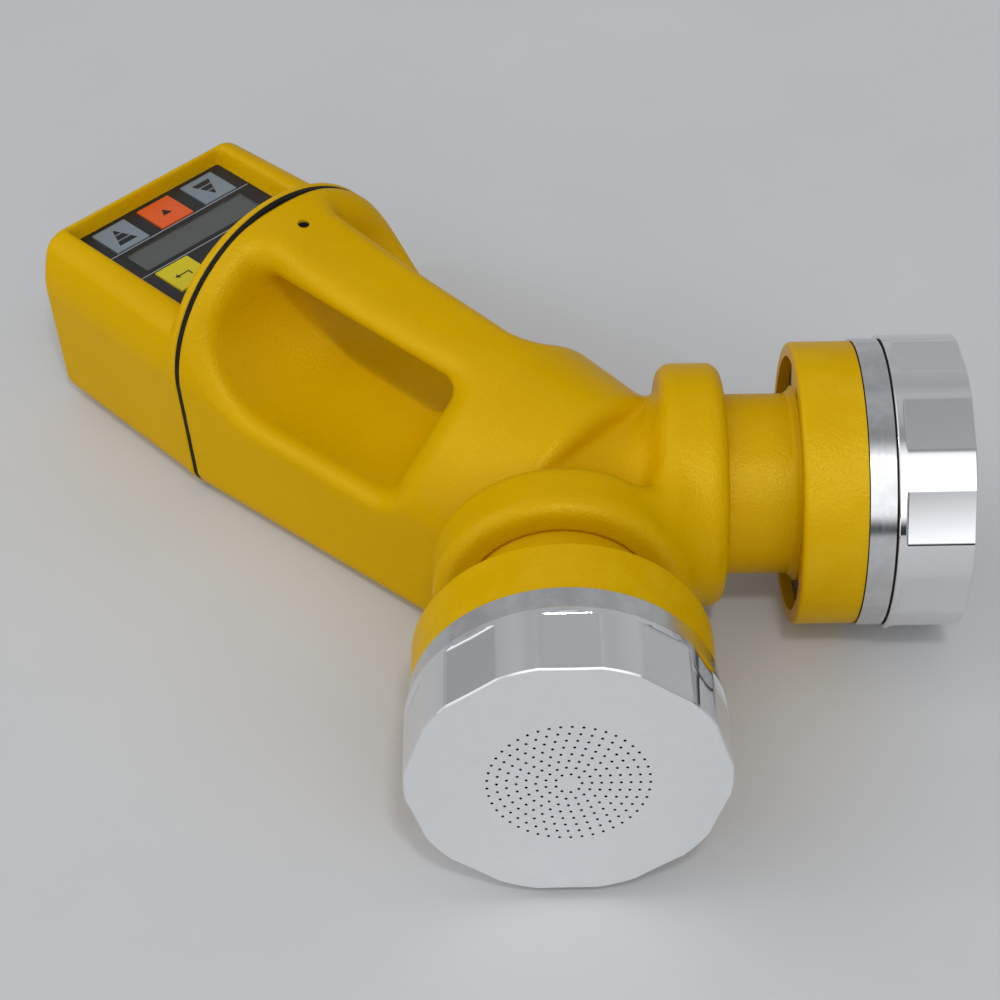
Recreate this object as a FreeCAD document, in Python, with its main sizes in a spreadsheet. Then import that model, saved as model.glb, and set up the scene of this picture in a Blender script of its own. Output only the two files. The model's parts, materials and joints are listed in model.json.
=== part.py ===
import FreeCAD, Part
import math
import os

import Sketcher
from FreeCAD import Placement, Rotation, Vector

# Two-headed portable air sampler, in millimetres.
# The two sampling heads point forwards (-Y), 45 degrees to the left (-X) and to the right (+X).
# The keypad housing is at the back (+Y).  The origin is at the middle of the footprint, on the
# surface that the flat base stands on.  Most pieces are drawn about the point where the axes of
# the two heads cross, and their Placement then lifts them to that point.

doc = FreeCAD.newDocument("air_sampler")
sheet = doc.addObject("Spreadsheet::Sheet", "Sizes")


# ---------------------------------------------------------------- driving sizes

class Size:
    """A length in mm or an angle in degrees, kept with the sheet formula that gives it."""

    def __init__(self, value, formula):
        self.value = value
        self.formula = formula

    def __add__(self, other):
        return self.joined("+", other, self.value + sized(other).value)

    def __sub__(self, other):
        return self.joined("-", other, self.value - sized(other).value)

    def __mul__(self, other):
        return self.joined("*", other, self.value * sized(other).value)

    def __truediv__(self, other):
        return self.joined("/", other, self.value / sized(other).value)

    def __rsub__(self, other):
        return sized(other) - self

    def __neg__(self):
        return Size(-self.value, f"(-{self.formula})")

    def joined(self, sign, other, value):
        return Size(value, f"({self.formula} {sign} {sized(other).formula})")


def sized(number):
    """A Size as it is, or a plain number as a Size."""
    if isinstance(number, Size):
        return number
    return Size(float(number), f"{float(number):.6g}")


def size(alias, value):
    """Give one driving size its own row and alias in the sheet."""
    size.row += 1
    sheet.set(f"A{size.row}", alias)
    sheet.set(f"B{size.row}", f"{value:g}")
    sheet.setAlias(f"B{size.row}", alias)
    return Size(float(value), f"Sizes.{alias}")


size.row = 0

# Where the head axes cross, in the object's own frame.
axis_height = size("axis_height", 55)
axis_place = size("axis_place", -45.6)
head_turn = size("head_turn", 45)

# Casing: a D-shaped section, round above the axis and flat below it.
rear_radius = size("rear_radius", 51.8)
joint_radius = size("joint_radius", 55)
trunk_radius = size("trunk_radius", 43)
nose_radius = size("nose_radius", 37)
base_drop = size("base_drop", 55)
trunk_drop = size("trunk_drop", 55)
nose_drop = size("nose_drop", 45)
base_ratio = size("base_ratio", 0.935)
base_corner = size("base_corner", 11)
base_trim = size("base_trim", 0.5)
casing_wall = size("casing_wall", 3.2)
fit_gap = size("fit_gap", 0.05)
drop_in_gap = size("drop_in_gap", 0.1)
overcut = size("overcut", 1)
cutter_half = size("cutter_half", 64)
front_joint = size("front_joint", 140)
gasket_thick = size("gasket_thick", 2)
trunk_front = size("trunk_front", -12)
nose_front = size("nose_front", -18)
rear_face = size("rear_face", 224)
rear_round = size("rear_round", 2.5)
shoulder_round = size("shoulder_round", 6)

# Handle and the finger scoops beside and under it.
scoop_floor = size("scoop_floor", 0)
scoop_fall = size("scoop_fall", 4)
scoop_side = size("scoop_side", 62)
scoop_back = size("scoop_back", 131)
scoop_back_arc = size("scoop_back_arc", 32)
scoop_front = size("scoop_front", 56)
scoop_front_lean = size("scoop_front_lean", 0.5)
scoop_front_flare = size("scoop_front_flare", 0.4)
scoop_top = size("scoop_top", 64)
scoop_wall = size("scoop_wall", 3.6)
grip_half_back = size("grip_half_back", 17.5)
grip_half_front = size("grip_half_front", 15.5)
grip_under = size("grip_under", 34.5)
grip_corner = size("grip_corner", 8)
saddle_radius = size("saddle_radius", 260)
saddle_height = size("saddle_height", 47)
saddle_place = size("saddle_place", 70)

# Arms and collars that carry the heads.
arm_radius = size("arm_radius", 31)
collar_radius = size("collar_radius", 43)
collar_back = size("collar_back", 36)
collar_front = size("collar_front", 58.5)
collar_round = size("collar_round", 5.5)
crotch_place = size("crotch_place", -47)
crotch_radius = size("crotch_radius", 6)
crotch_drop = size("crotch_drop", 20)
socket_depth_at = size("socket_depth_at", 42)
wire_bore = size("wire_bore", 20)

# One head, measured along its own axis from the point where the axes cross.
neck_radius = size("neck_radius", 31.8)
neck_bore = size("neck_bore", 28.5)
neck_gap = size("neck_gap", 0.06)
shell_radius = size("shell_radius", 49.9)
shell_back = size("shell_back", 82.4)
shell_front = size("shell_front", 104.1)
shell_bore = size("shell_bore", 46.5)
web_back = size("web_back", 83.6)
web_front = size("web_front", 86.5)
neck_fillet = size("neck_fillet", 2.5)
neck_flare = size("neck_flare", 2)
shell_round = size("shell_round", 1.5)
vent_inner = size("vent_inner", 34.5)
vent_outer = size("vent_outer", 45)
vent_angle = size("vent_angle", 100)
vent_turn = size("vent_turn", 40)
screen_thick = size("screen_thick", 1)
holder_radius = size("holder_radius", 50.7)
holder_back = size("holder_back", 104.4)
holder_front = size("holder_front", 113.3)
holder_bore = size("holder_bore", 43.4)
spigot_radius = size("spigot_radius", 46)
spigot_front = size("spigot_front", 119)
spigot_back = size("spigot_back", 98)
pedestal_radius = size("pedestal_radius", 34)
pedestal_top = size("pedestal_top", 120)
pedestal_wall = size("pedestal_wall", 3)
dish_low = size("dish_low", 2)
dish_high = size("dish_high", 4.5)
slot_angle = size("slot_angle", 48)
slot_rim = size("slot_rim", 1)
clip_angle = size("clip_angle", 16)
clip_turn = size("clip_turn", 30)
clip_thick = size("clip_thick", 0.8)
clip_hook = size("clip_hook", 1.2)
clip_low = size("clip_low", 7)
clip_reach = size("clip_reach", 6)
seal_recess = size("seal_recess", 0.4)
holder_gap = size("holder_gap", 0.06)
sheet_wall = size("sheet_wall", 2)
cap_radius = size("cap_radius", 52)
cap_back = size("cap_back", 113.9)
cap_front = size("cap_front", 140.1)
cap_plate = size("cap_plate", 3)
cap_edge = size("cap_edge", 0.5)
cap_clear = size("cap_clear", 0.05)
flute_radius = size("flute_radius", 400)
flute_depth = size("flute_depth", 1)
flute_back = size("flute_back", 116.2)
jet_radius = size("jet_radius", 0.5)
jet_first_ring = size("jet_first_ring", 4.2)
jet_ring_step = size("jet_ring_step", 3.07)

# Fan and motor of one head.
motor_radius = size("motor_radius", 18)
motor_back = size("motor_back", 52)
motor_boss = size("motor_boss", 8)
motor_plate_radius = size("motor_plate_radius", 33)
motor_plate_front = size("motor_plate_front", 88.5)
shaft_radius = size("shaft_radius", 1.5)
shaft_back = size("shaft_back", 60)
shaft_front = size("shaft_front", 100)
fan_radius = size("fan_radius", 32)
fan_back = size("fan_back", 92)
fan_front = size("fan_front", 101)
fan_hub = size("fan_hub", 7)
fan_disc = size("fan_disc", 1.2)
blade_root = size("blade_root", 10)
blade_thick = size("blade_thick", 1.3)
blade_tip_across = size("blade_tip_across", 0.3)
blade_tip_up = size("blade_tip_up", 0.94)
motor_screw_ring = size("motor_screw_ring", 31)
motor_screw_radius = size("motor_screw_radius", 1.2)
motor_screw_head = size("motor_screw_head", 1.4)
hole_depth = size("hole_depth", 8)

# Keypad tray sunk into the flat top of the rear housing.
deck_height = size("deck_height", 23)
deck_front = size("deck_front", 146)
tray_half = size("tray_half", 36.4)
tray_front = size("tray_front", 150)
tray_back = size("tray_back", 220.8)
tray_floor = size("tray_floor", 15)
tray_flare = size("tray_flare", 2.6)
tray_skin = size("tray_skin", 2.5)
tray_slope = size("tray_slope", 0.6)
overlay_thick = size("overlay_thick", 1)
key_half = size("key_half", 7.9)
key_depth = size("key_depth", 15.8)
key_row_front = size("key_row_front", 202.2)
key_pitch = size("key_pitch", 22.4)
enter_front = size("enter_front", 166)
enter_shift = size("enter_shift", 1.4)
key_gap = size("key_gap", 0.3)
key_thick = size("key_thick", 0.9)
key_rise = size("key_rise", 0.5)
plunger_radius = size("plunger_radius", 2)
switch_half = size("switch_half", 3)
switch_high = size("switch_high", 3)
key_travel = size("key_travel", 0.6)
window_half = size("window_half", 31)
window_front = size("window_front", 184)
window_back = size("window_back", 200.6)
window_rim = size("window_rim", 1)
display_side = size("display_side", 2)
board_top = size("board_top", 5.6)
board_thick = size("board_thick", 1.6)
board_half = size("board_half", 35)
board_front = size("board_front", 149)
board_back = size("board_back", 219)
board_hole = size("board_hole", 1.2)
post_across = size("post_across", 31)
post_front = size("post_front", 154)
post_back = size("post_back", 216)
post_radius = size("post_radius", 3)
post_high = size("post_high", 10)
post_bore = size("post_bore", 1.05)
board_screw_radius = size("board_screw_radius", 1)
board_screw_length = size("board_screw_length", 6.5)
board_screw_head = size("board_screw_head", 1.6)
battery_half = size("battery_half", 36)
battery_front = size("battery_front", 157)
battery_back = size("battery_back", 208)
battery_high = size("battery_high", 30)

# Fasteners and fittings.
screw_place = size("screw_place", 126.6)
screw_radius = size("screw_radius", 2)
screw_head_radius = size("screw_head_radius", 3.4)
screw_well = size("screw_well", 47)
screw_low = size("screw_low", 36.5)
screw_head_high = size("screw_head_high", 2)
lug_half = size("lug_half", 7)
lug_low = size("lug_low", 37)
lug_high = size("lug_high", 44)
lug_root_high = size("lug_root_high", 53)
base_lug_half = size("base_lug_half", 6)
base_lug_high = size("base_lug_high", 19)
base_lug_root = size("base_lug_root", 12)
base_boss_high = size("base_boss_high", 14)
base_head_low = size("base_head_low", 0.8)
base_head_high = size("base_head_high", 2.2)
base_screw_side = size("base_screw_side", 30)
bush_place = size("bush_place", 75)
bush_radius = size("bush_radius", 5)
bush_bore = size("bush_bore", 2.6)
bush_length = size("bush_length", 10)
bush_boss_wall = size("bush_boss_wall", 3)
bush_boss_top = size("bush_boss_top", 4)
inlet_height = size("inlet_height", -18)
inlet_radius = size("inlet_radius", 5.5)
inlet_depth = size("inlet_depth", 14)
inlet_rim = size("inlet_rim", 2)
inlet_rim_thick = size("inlet_rim_thick", 1.5)
inlet_socket = size("inlet_socket", 3.2)
inlet_socket_depth = size("inlet_socket_depth", 8)
inlet_pin = size("inlet_pin", 1)
inlet_pin_top = size("inlet_pin_top", 5)
foot_radius = size("foot_radius", 5)
foot_thick = size("foot_thick", 3)
foot_across = size("foot_across", 40)
foot_up = size("foot_up", 13)
low_foot_across = size("low_foot_across", 37)
low_foot_down = size("low_foot_down", 42)

JET_RINGS = (9, 15, 20, 25, 30, 35, 40, 45)
FLUTES = 10
VENTS = 3
MOTOR_SCREWS = 3
AIR_SLOTS = 6
CLIPS = 3
BLADES = 9
FLUTE_TURN = {"left": 0, "right": -9.3}
HEADS = {"left": -1, "right": 1}


# ---------------------------------------------------------------- drawing helpers

def plane_of(body, role):
    """The origin plane or axis of a body, by its role."""
    return next(item for item in body.Origin.OriginFeatures if item.Role == role)


def sketch_on(body, role, name, offset=0, turn=0):
    """A sketch on one of the body's own origin planes, moved along the plane's normal."""
    offset = sized(offset)
    turn = sized(turn)
    sketch = body.newObject("Sketcher::SketchObject", name)
    sketch.AttachmentSupport = [(plane_of(body, role), "")]
    sketch.MapMode = "FlatFace"
    spin = Rotation(Vector(0, 0, 1), turn.value)
    sketch.AttachmentOffset = Placement(Vector(0, 0, offset.value), spin)
    sketch.setExpression("AttachmentOffset.Base.z", offset.formula)
    if turn.value:
        sketch.setExpression("AttachmentOffset.Rotation.Angle", turn.formula)
    return sketch


def bind(sketch, kind, places, amount):
    """Add one sketch dimension and tie it to its formula."""
    index = sketch.addConstraint(Sketcher.Constraint(kind, *places, amount.value))
    sketch.setExpression(f"Constraints[{index}]", amount.formula)


def pin(sketch, edge, end, across, up):
    """Fix one end or centre of an edge at its distances from the sketch's own axes."""
    if across.value:
        bind(sketch, "DistanceX", (-1, 1, edge, end), across)
    else:
        sketch.addConstraint(Sketcher.Constraint("PointOnObject", edge, end, -2))
    if up.value:
        bind(sketch, "DistanceY", (-1, 1, edge, end), up)
    else:
        sketch.addConstraint(Sketcher.Constraint("PointOnObject", edge, end, -1))


def arc_between(first, last, radius):
    """The shorter counterclockwise arc of that radius from one point to another."""
    chord = last.sub(first)
    half = chord.Length / 2
    rise = math.sqrt(max(radius * radius - half * half, 0.0))
    side = Vector(-chord.y, chord.x, 0).normalize()
    centre = first.add(chord.multiply(0.5)).add(side.multiply(rise))
    start = math.atan2(first.y - centre.y, first.x - centre.x)
    end = math.atan2(last.y - centre.y, last.x - centre.x)
    return Part.ArcOfCircle(Part.Circle(centre, Vector(0, 0, 1), radius), start, end)


def outline(sketch, corners):
    """Close a loop through corners (across, up).  With a third value the edge that leaves the
    corner is an arc of that radius: counterclockwise, or clockwise where the radius is negative."""
    corners = [tuple(sized(number) for number in corner) for corner in corners]
    points = [Vector(corner[0].value, corner[1].value, 0) for corner in corners]
    base = sketch.GeometryCount
    ends = []
    for index, corner in enumerate(corners):
        first = points[index]
        last = points[(index + 1) % len(points)]
        if len(corner) == 2:
            sketch.addGeometry(Part.LineSegment(first, last))
            ends.append((1, 2))
        elif corner[2].value > 0:
            sketch.addGeometry(arc_between(first, last, corner[2].value))
            ends.append((1, 2))
        else:
            sketch.addGeometry(arc_between(last, first, -corner[2].value))
            ends.append((2, 1))
    for index, corner in enumerate(corners):
        edge = base + index
        after = base + (index + 1) % len(corners)
        here = ends[index]
        there = ends[(index + 1) % len(corners)]
        sketch.addConstraint(Sketcher.Constraint("Coincident", edge, here[1], after, there[0]))
        pin(sketch, edge, here[0], corner[0], corner[1])
        if len(corner) == 3:
            radius = corner[2] if corner[2].value > 0 else -corner[2]
            bind(sketch, "Radius", (edge,), radius)


def circle(sketch, across, up, radius):
    """Add one circle, fixed by its centre and radius."""
    across, up, radius = sized(across), sized(up), sized(radius)
    ring = Part.Circle(Vector(across.value, up.value, 0), Vector(0, 0, 1), radius.value)
    edge = sketch.addGeometry(ring)
    pin(sketch, edge, 3, across, up)
    bind(sketch, "Radius", (edge,), radius)


def rectangle(sketch, left, right, low, high):
    """Add one rectangle between two distances across and two distances up."""
    outline(sketch, [(left, low), (right, low), (right, high), (left, high)])


def new_body(label):
    """An empty body with its own label, free to hold several solids."""
    body = doc.addObject("PartDesign::Body", label)
    body.Label = label
    body.AllowCompound = True
    return body


def feature(body, kind, sketch, name, **settings):
    """Add one sketch feature to a body.  A Size is bound to the sheet, the rest is set as it is."""
    item = body.newObject(f"PartDesign::{kind}", name)
    item.Profile = sketch
    for key, setting in settings.items():
        if isinstance(setting, Size):
            item.setExpression(key, setting.formula)
        else:
            setattr(item, key, setting)
    return item


def pad(body, sketch, length, **settings):
    """Pad a sketch along its normal."""
    return feature(body, "Pad", sketch, "pad", Length=sized(length), **settings)


def pocket(body, sketch, length, **settings):
    """Cut a sketch along its normal, into the solid when Reversed is set."""
    return feature(body, "Pocket", sketch, "pocket", Length=sized(length), **settings)


def spin(body, sketch, axis, angle=360, kind="Revolution"):
    """Turn a sketch about one of its own axes."""
    return feature(body, kind, sketch, "spin", ReferenceAxis=(sketch, [axis]), Angle=sized(angle))


def repeat(body, items, count):
    """Repeat features evenly round the body's Z axis."""
    pattern = body.newObject("PartDesign::PolarPattern", "repeat")
    pattern.Originals = items
    pattern.Axis = (plane_of(body, "Z_Axis"), [""])
    pattern.Angle = 360
    pattern.Occurrences = count
    body.Tip = pattern
    return pattern


def turned(label, corners):
    """A piece turned about its Z axis from an outline of (radius, height) corners."""
    body = new_body(label)
    sketch = sketch_on(body, "XZ_Plane", "outline")
    outline(sketch, corners)
    spin(body, sketch, "V_Axis")
    return body


def fused(label, *items):
    """Join several objects into one."""
    joined = doc.addObject("Part::MultiFuse", label)
    joined.Shapes = list(items)
    joined.Label = label
    return joined


def cut(label, base, *tools):
    """Take one or more tool objects away from a base."""
    tool = tools[0] if len(tools) == 1 else fused(f"{label}_tools", *tools)
    result = doc.addObject("Part::Cut", label)
    result.Base = base
    result.Tool = tool
    result.Label = label
    return result


def rounded(label, base, radius, wanted):
    """Round the edges of a finished object that the test function wants."""
    doc.recompute()
    result = doc.addObject("Part::Fillet", label)
    result.Base = base
    result.Edges = [(number, radius.value, radius.value)
                    for number, edge in enumerate(base.Shape.Edges, 1) if wanted(edge)]
    result.Label = label
    return result


def block(label, left, right, back, front, low, high):
    """A box between two limits along X, Y and Z."""
    box = doc.addObject("Part::Box", label)
    box.Label = label
    edges = {"x": (left, right, "Length"), "y": (back, front, "Width"), "z": (low, high, "Height")}
    for axis, (start, end, key) in edges.items():
        box.setExpression(f"Placement.Base.{axis}", sized(start).formula)
        box.setExpression(key, (sized(end) - start).formula)
    return box


def peg(label, across, along, low, radius, height):
    """An upright cylinder that stands at (across, along, low)."""
    cylinder = doc.addObject("Part::Cylinder", label)
    cylinder.Label = label
    for key, setting in {"Placement.Base.x": across, "Placement.Base.y": along,
                         "Placement.Base.z": low, "Radius": radius, "Height": height}.items():
        cylinder.setExpression(key, sized(setting).formula)
    return cylinder


def rod(label, across, up, back, radius, length):
    """A cylinder along +Y that starts at (across, back, up)."""
    cylinder = peg(label, across, back, up, radius, length)
    cylinder.Placement.Rotation = Rotation(Vector(1, 0, 0), -90)
    return cylinder


# ---------------------------------------------------------------- the pieces and their places

pieces = []
crossing = Placement(Vector(0, axis_place.value, axis_height.value), Rotation())


def keep(item, place=crossing):
    """List a finished piece and put it in its place."""
    item.Placement = place
    item.setExpression("Placement.Base.y", axis_place.formula)
    item.setExpression("Placement.Base.z", axis_height.formula)
    pieces.append(item)
    return item


def head_place(side):
    """Z along the head's axis, outwards, and Y upwards."""
    angle = math.radians(head_turn.value)
    outwards = Vector(side * math.sin(angle), -math.cos(angle), 0)
    upwards = Vector(0, 0, 1)
    return Placement(crossing.Base, Rotation(upwards.cross(outwards), upwards, outwards, "ZXY"))


def d_section(sketch, radius, drop, corner=base_corner):
    """Round above the axis, leaning in slightly below it, with a flat base and round corners."""
    radius, drop, corner = sized(radius), sized(drop), sized(corner)
    half = radius * base_ratio
    outline(sketch, [
        (radius, 0, radius), (0, radius, radius), (-radius, 0),
        (-half, corner - drop, corner), (corner - half, -drop),
        (half - corner, -drop, corner), (half, corner - drop),
    ])


def d_loft(label, stations, inset=0):
    """A casing body lofted through D sections given as (place, radius, drop)."""
    body = new_body(label)
    sketches = []
    for place, radius, drop in stations:
        sketch = sketch_on(body, "XZ_Plane", "section", -sized(place))
        d_section(sketch, sized(radius) - inset, sized(drop) - inset, base_corner - inset)
        sketches.append(sketch)
    loft = body.newObject("PartDesign::AdditiveLoft", "loft")
    loft.Profile = sketches[0]
    loft.Sections = sketches[1:]
    loft.Ruled = True
    return body


# ---------------------------------------------------------------- front body

front_stations = [
    (front_joint, joint_radius, base_drop + base_trim),
    (trunk_front, trunk_radius, trunk_drop + base_trim),
    (nose_front, nose_radius, nose_drop),
]


def arm_outline(body, angle):
    """One arm with its thick round-edged collar, turned about the head axis."""
    sketch = sketch_on(body, "XY_Plane", "arm", 0, angle)
    outline(sketch, [
        (0, 0), (collar_front, 0), (collar_front, collar_radius - collar_round, collar_round),
        (collar_front - collar_round, collar_radius),
        (collar_back + collar_round, collar_radius, collar_round),
        (collar_back, collar_radius - collar_round), (collar_back, arm_radius), (0, arm_radius),
    ])
    spin(body, sketch, "H_Axis")


def scoop_outline(body, side, grow, floor_grow):
    """The finger scoop seen from the side, at a distance from the middle plane."""
    sketch = sketch_on(body, "YZ_Plane", "scoop", side)
    floor = scoop_floor - floor_grow - scoop_fall * side / scoop_side
    front = scoop_front - grow - side * scoop_front_flare
    back = scoop_back + grow
    arc = scoop_back_arc + grow
    outline(sketch, [
        (front - floor * scoop_front_lean, floor), (back - arc, floor, arc), (back, floor + arc),
        (back, scoop_top), (front - scoop_top * scoop_front_lean, scoop_top),
    ])
    return sketch


def scoop_body(label, grow=0, floor_grow=0):
    """Both finger scoops, which meet in the middle under the handle."""
    body = new_body(label)
    loft = body.newObject("PartDesign::AdditiveLoft", "loft")
    loft.Profile = scoop_outline(body, sized(0), sized(grow), sized(floor_grow))
    loft.Sections = [scoop_outline(body, scoop_side, sized(grow), sized(floor_grow))]
    loft.Ruled = True
    mirror = body.newObject("PartDesign::Mirrored", "mirror")
    mirror.Originals = [loft]
    mirror.MirrorPlane = (plane_of(body, "YZ_Plane"), [""])
    body.Tip = mirror
    return body


def grip_section(body, place, half):
    """The handle bar from the end: round lower edges, and a top above the casing's surface."""
    sketch = sketch_on(body, "XZ_Plane", "grip", -sized(place))
    low = grip_under
    outline(sketch, [
        (-half, low + grip_corner, grip_corner), (grip_corner - half, low),
        (half - grip_corner, low, grip_corner), (half, low + grip_corner),
        (half, scoop_top + overcut), (-half, scoop_top + overcut),
    ])
    return sketch


def build_front_body():
    """The hollow front casing, with handle, finger scoops, arms and collars."""
    outer = d_loft("front_casing", front_stations)
    for side in HEADS.values():
        arm_outline(outer, -head_turn if side > 0 else head_turn - 180)
    sketch = sketch_on(outer, "XY_Plane", "crotch", -crotch_drop)
    circle(sketch, 0, crotch_place, crotch_radius)
    pad(outer, sketch, crotch_drop * 2)
    grip = new_body("grip_bar")
    loft = grip.newObject("PartDesign::AdditiveLoft", "loft")
    loft.Profile = grip_section(grip, front_joint, grip_half_back)
    loft.Sections = [grip_section(grip, trunk_front, grip_half_front)]
    loft.Ruled = True
    scoops = cut("finger_scoops", scoop_body("scoop_space"), grip)
    saddle = rod("grip_saddle", 0, 0, 0, saddle_radius, scoop_top)
    saddle.Placement.Rotation = Rotation(Vector(0, 1, 0), 90)
    saddle.setExpression("Placement.Base.x", (-scoop_top / 2).formula)
    saddle.setExpression("Placement.Base.y", saddle_place.formula)
    saddle.setExpression("Placement.Base.z", (saddle_height + saddle_radius).formula)
    cavity = d_loft("casing_space", [
        (front_joint + overcut, joint_radius, base_drop), (scoop_wall, trunk_radius, trunk_drop),
    ], casing_wall)
    webs = scoop_body("scoop_walls", scoop_wall, scoop_wall)
    bosses = [peg("bush_boss", 0, bush_place, -base_drop, bush_radius + bush_boss_wall,
                  bush_length + bush_boss_top)]
    for side in HEADS.values():
        place = base_screw_side * side
        bosses.append(block(f"screw_boss_{side + 1}", place - base_lug_half, place + base_lug_half,
                            screw_place - lug_half, screw_place + lug_half,
                            -base_drop, base_boss_high - base_drop))
    hollow = cut("casing_hollow", cavity, webs, *bosses)
    bores = new_body("neck_sockets")
    for side in HEADS.values():
        sketch = sketch_on(bores, "XY_Plane", "socket", 0,
                           -head_turn if side > 0 else head_turn - 180)
        outline(sketch, [
            (0, 0), (collar_front + overcut, 0), (collar_front + overcut, neck_radius + neck_gap),
            (socket_depth_at, neck_radius + neck_gap), (socket_depth_at, wire_bore),
            (0, wire_bore),
        ])
        spin(bores, sketch, "H_Axis")
    slot_half = lug_half + drop_in_gap
    lug_slot = block("lug_slot", -slot_half, slot_half, screw_place - slot_half,
                     front_joint + overcut, lug_low - drop_in_gap, lug_high + drop_in_gap)
    holes = [
        peg("screw_well", 0, screw_place, screw_well, screw_radius + drop_in_gap * 2,
            cutter_half - screw_well),
        peg("screw_path", 0, screw_place, lug_low - overcut, screw_radius + fit_gap,
            screw_well - lug_low + overcut * 2),
        peg("bush_hole", 0, bush_place, -base_drop - overcut, bush_radius, bush_length + overcut),
    ]
    head_top = base_head_low + base_head_high
    for side in HEADS.values():
        place = base_screw_side * side
        holes.append(peg(f"base_well_{side + 1}", place, screw_place, -base_drop - overcut,
                         screw_head_radius + drop_in_gap, head_top + overcut))
        holes.append(peg(f"base_path_{side + 1}", place, screw_place, -base_drop,
                         screw_radius + fit_gap, base_boss_high + overcut))
    under = block("under_front", -cutter_half, cutter_half, -cutter_half, front_joint + overcut,
                  -base_drop - bush_length, -base_drop)
    return keep(cut("front_body", outer, scoops, saddle, hollow, bores, lug_slot, under, *holes))


# ---------------------------------------------------------------- rear housing and what is in it

rear_joint = front_joint + gasket_thick
rear_stations = [
    (rear_joint, joint_radius, base_drop + base_trim),
    (rear_face, rear_radius, base_drop + base_trim),
]
key_places = {
    "down_key": (-key_pitch, key_row_front),
    "start_key": (sized(0), key_row_front),
    "up_key": (key_pitch, key_row_front),
    "enter_key": (enter_shift - key_pitch, enter_front),
}
board_corners = [(post_across * side, place) for side in HEADS.values()
                 for place in (post_front, post_back)]


def same(low, high, size_wanted):
    """Whether both ends of a bounding box lie at one size, within a hundredth of a millimetre."""
    return abs(low - size_wanted.value) + abs(high - size_wanted.value) < 0.01


def is_shoulder(edge):
    """The two long edges beside the deck."""
    box = edge.BoundBox
    beside = min(abs(box.XMin), abs(box.XMax)) > tray_half.value
    return same(box.ZMin, box.ZMax, deck_height) and box.YLength > tray_half.value and beside


def is_rear_edge(edge):
    """The edges all round the rear face."""
    box = edge.BoundBox
    return same(box.YMin, box.YMax, rear_face)


def build_rear_housing():
    """The rear shell: flange band, flat deck with a sunken tray, and a cavity for the battery."""
    outer = d_loft("rear_casing", rear_stations)
    behind = rear_face + foot_thick
    under = block("under_rear", -cutter_half, cutter_half, rear_joint - overcut, behind,
                  -base_drop - bush_length, -base_drop)
    above = block("above_deck", -cutter_half, cutter_half, deck_front, behind, deck_height, cutter_half)
    shaped = cut("deck_shape", outer, above, under)
    shoulders = rounded("deck_shoulders", shaped, shoulder_round, is_shoulder)
    outer = rounded("rear_edges", shoulders, rear_round, is_rear_edge)
    tray = new_body("tray_space")
    top = sketch_on(tray, "XY_Plane", "mouth", deck_height)
    rectangle(top, -tray_half - tray_flare, tray_half + tray_flare, tray_front - overcut,
              tray_back + tray_slope)
    low = sketch_on(tray, "XY_Plane", "floor", tray_floor)
    rectangle(low, -tray_half, tray_half, tray_front, tray_back)
    loft = tray.newObject("PartDesign::AdditiveLoft", "loft")
    loft.Profile = low
    loft.Sections = [top]
    loft.Ruled = True
    cavity = d_loft("rear_space", [
        (rear_joint - overcut, joint_radius, base_drop),
        (rear_face - casing_wall, rear_radius, base_drop),
    ], casing_wall)
    over_tray = block("over_tray", -cutter_half, cutter_half, deck_front - casing_wall, behind,
                      tray_floor - tray_skin, cutter_half)
    posts = [peg(f"post_{n}", x, y, board_top, post_radius, post_high)
             for n, (x, y) in enumerate(board_corners)]
    hollow = cut("rear_hollow", cavity, over_tray, *posts)
    body = cut("rear_shell", outer, tray, hollow)
    lugs = [
        block("top_lug", -lug_half, lug_half, screw_place - lug_half, rear_joint + gasket_thick,
              lug_low, lug_high),
        block("top_lug_root", -lug_half, lug_half, rear_joint, deck_front, lug_low, lug_root_high),
    ]
    lug_back = rear_joint + base_lug_root
    lug_top = base_lug_high - base_drop
    for side in HEADS.values():
        left = base_screw_side * side - base_lug_half
        right = base_screw_side * side + base_lug_half
        lugs.append(block(f"base_lug_{side + 1}", left, right, screw_place - base_lug_half, lug_back,
                          base_boss_high + drop_in_gap - base_drop, lug_top))
        lugs.append(block(f"base_lug_root_{side + 1}", left, right, rear_joint + gasket_thick,
                          lug_back, overcut - base_drop, lug_top))
    shell = fused("rear_shell_with_lugs", body, *lugs)
    threads = {"lug_thread": (sized(0), lug_low - overcut)}
    for side in HEADS.values():
        threads[f"base_lug_thread_{side + 1}"] = (base_screw_side * side, base_lug_root - base_drop)
    holes = [peg(name, across, screw_place, low, screw_radius + fit_gap, deck_height / 2)
             for name, (across, low) in threads.items()]
    guide_low = tray_floor - tray_skin - overcut
    rim = window_half - window_rim
    holes.append(block("display_window", -rim, rim, window_front + window_rim,
                       window_back - window_rim, guide_low, deck_height))
    for name, (across, front) in key_places.items():
        holes.append(peg(f"{name}_guide", across, front + key_depth / 2, guide_low,
                         plunger_radius + key_gap, deck_height - guide_low))
    for n, (x, y) in enumerate(board_corners):
        holes.append(peg(f"post_thread_{n}", x, y, board_top - overcut, post_bore,
                         board_screw_length))
    holes.append(rod("inlet_hole", 0, inlet_height, rear_face - inlet_depth, inlet_radius + fit_gap,
                     inlet_depth * 2))
    return keep(cut("rear_housing", shell, *holes))


def build_gasket():
    """The rubber gasket squeezed between the two casings, a thin D-shaped ring."""
    outer = d_loft("gasket_sheet", [
        (front_joint, joint_radius, base_drop), (rear_joint, joint_radius, base_drop),
    ], seal_recess)
    inner = d_loft("gasket_middle", [
        (front_joint - overcut, joint_radius, base_drop),
        (rear_joint + overcut, joint_radius, base_drop),
    ], casing_wall)
    return keep(cut("housing_gasket", outer, inner))


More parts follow.
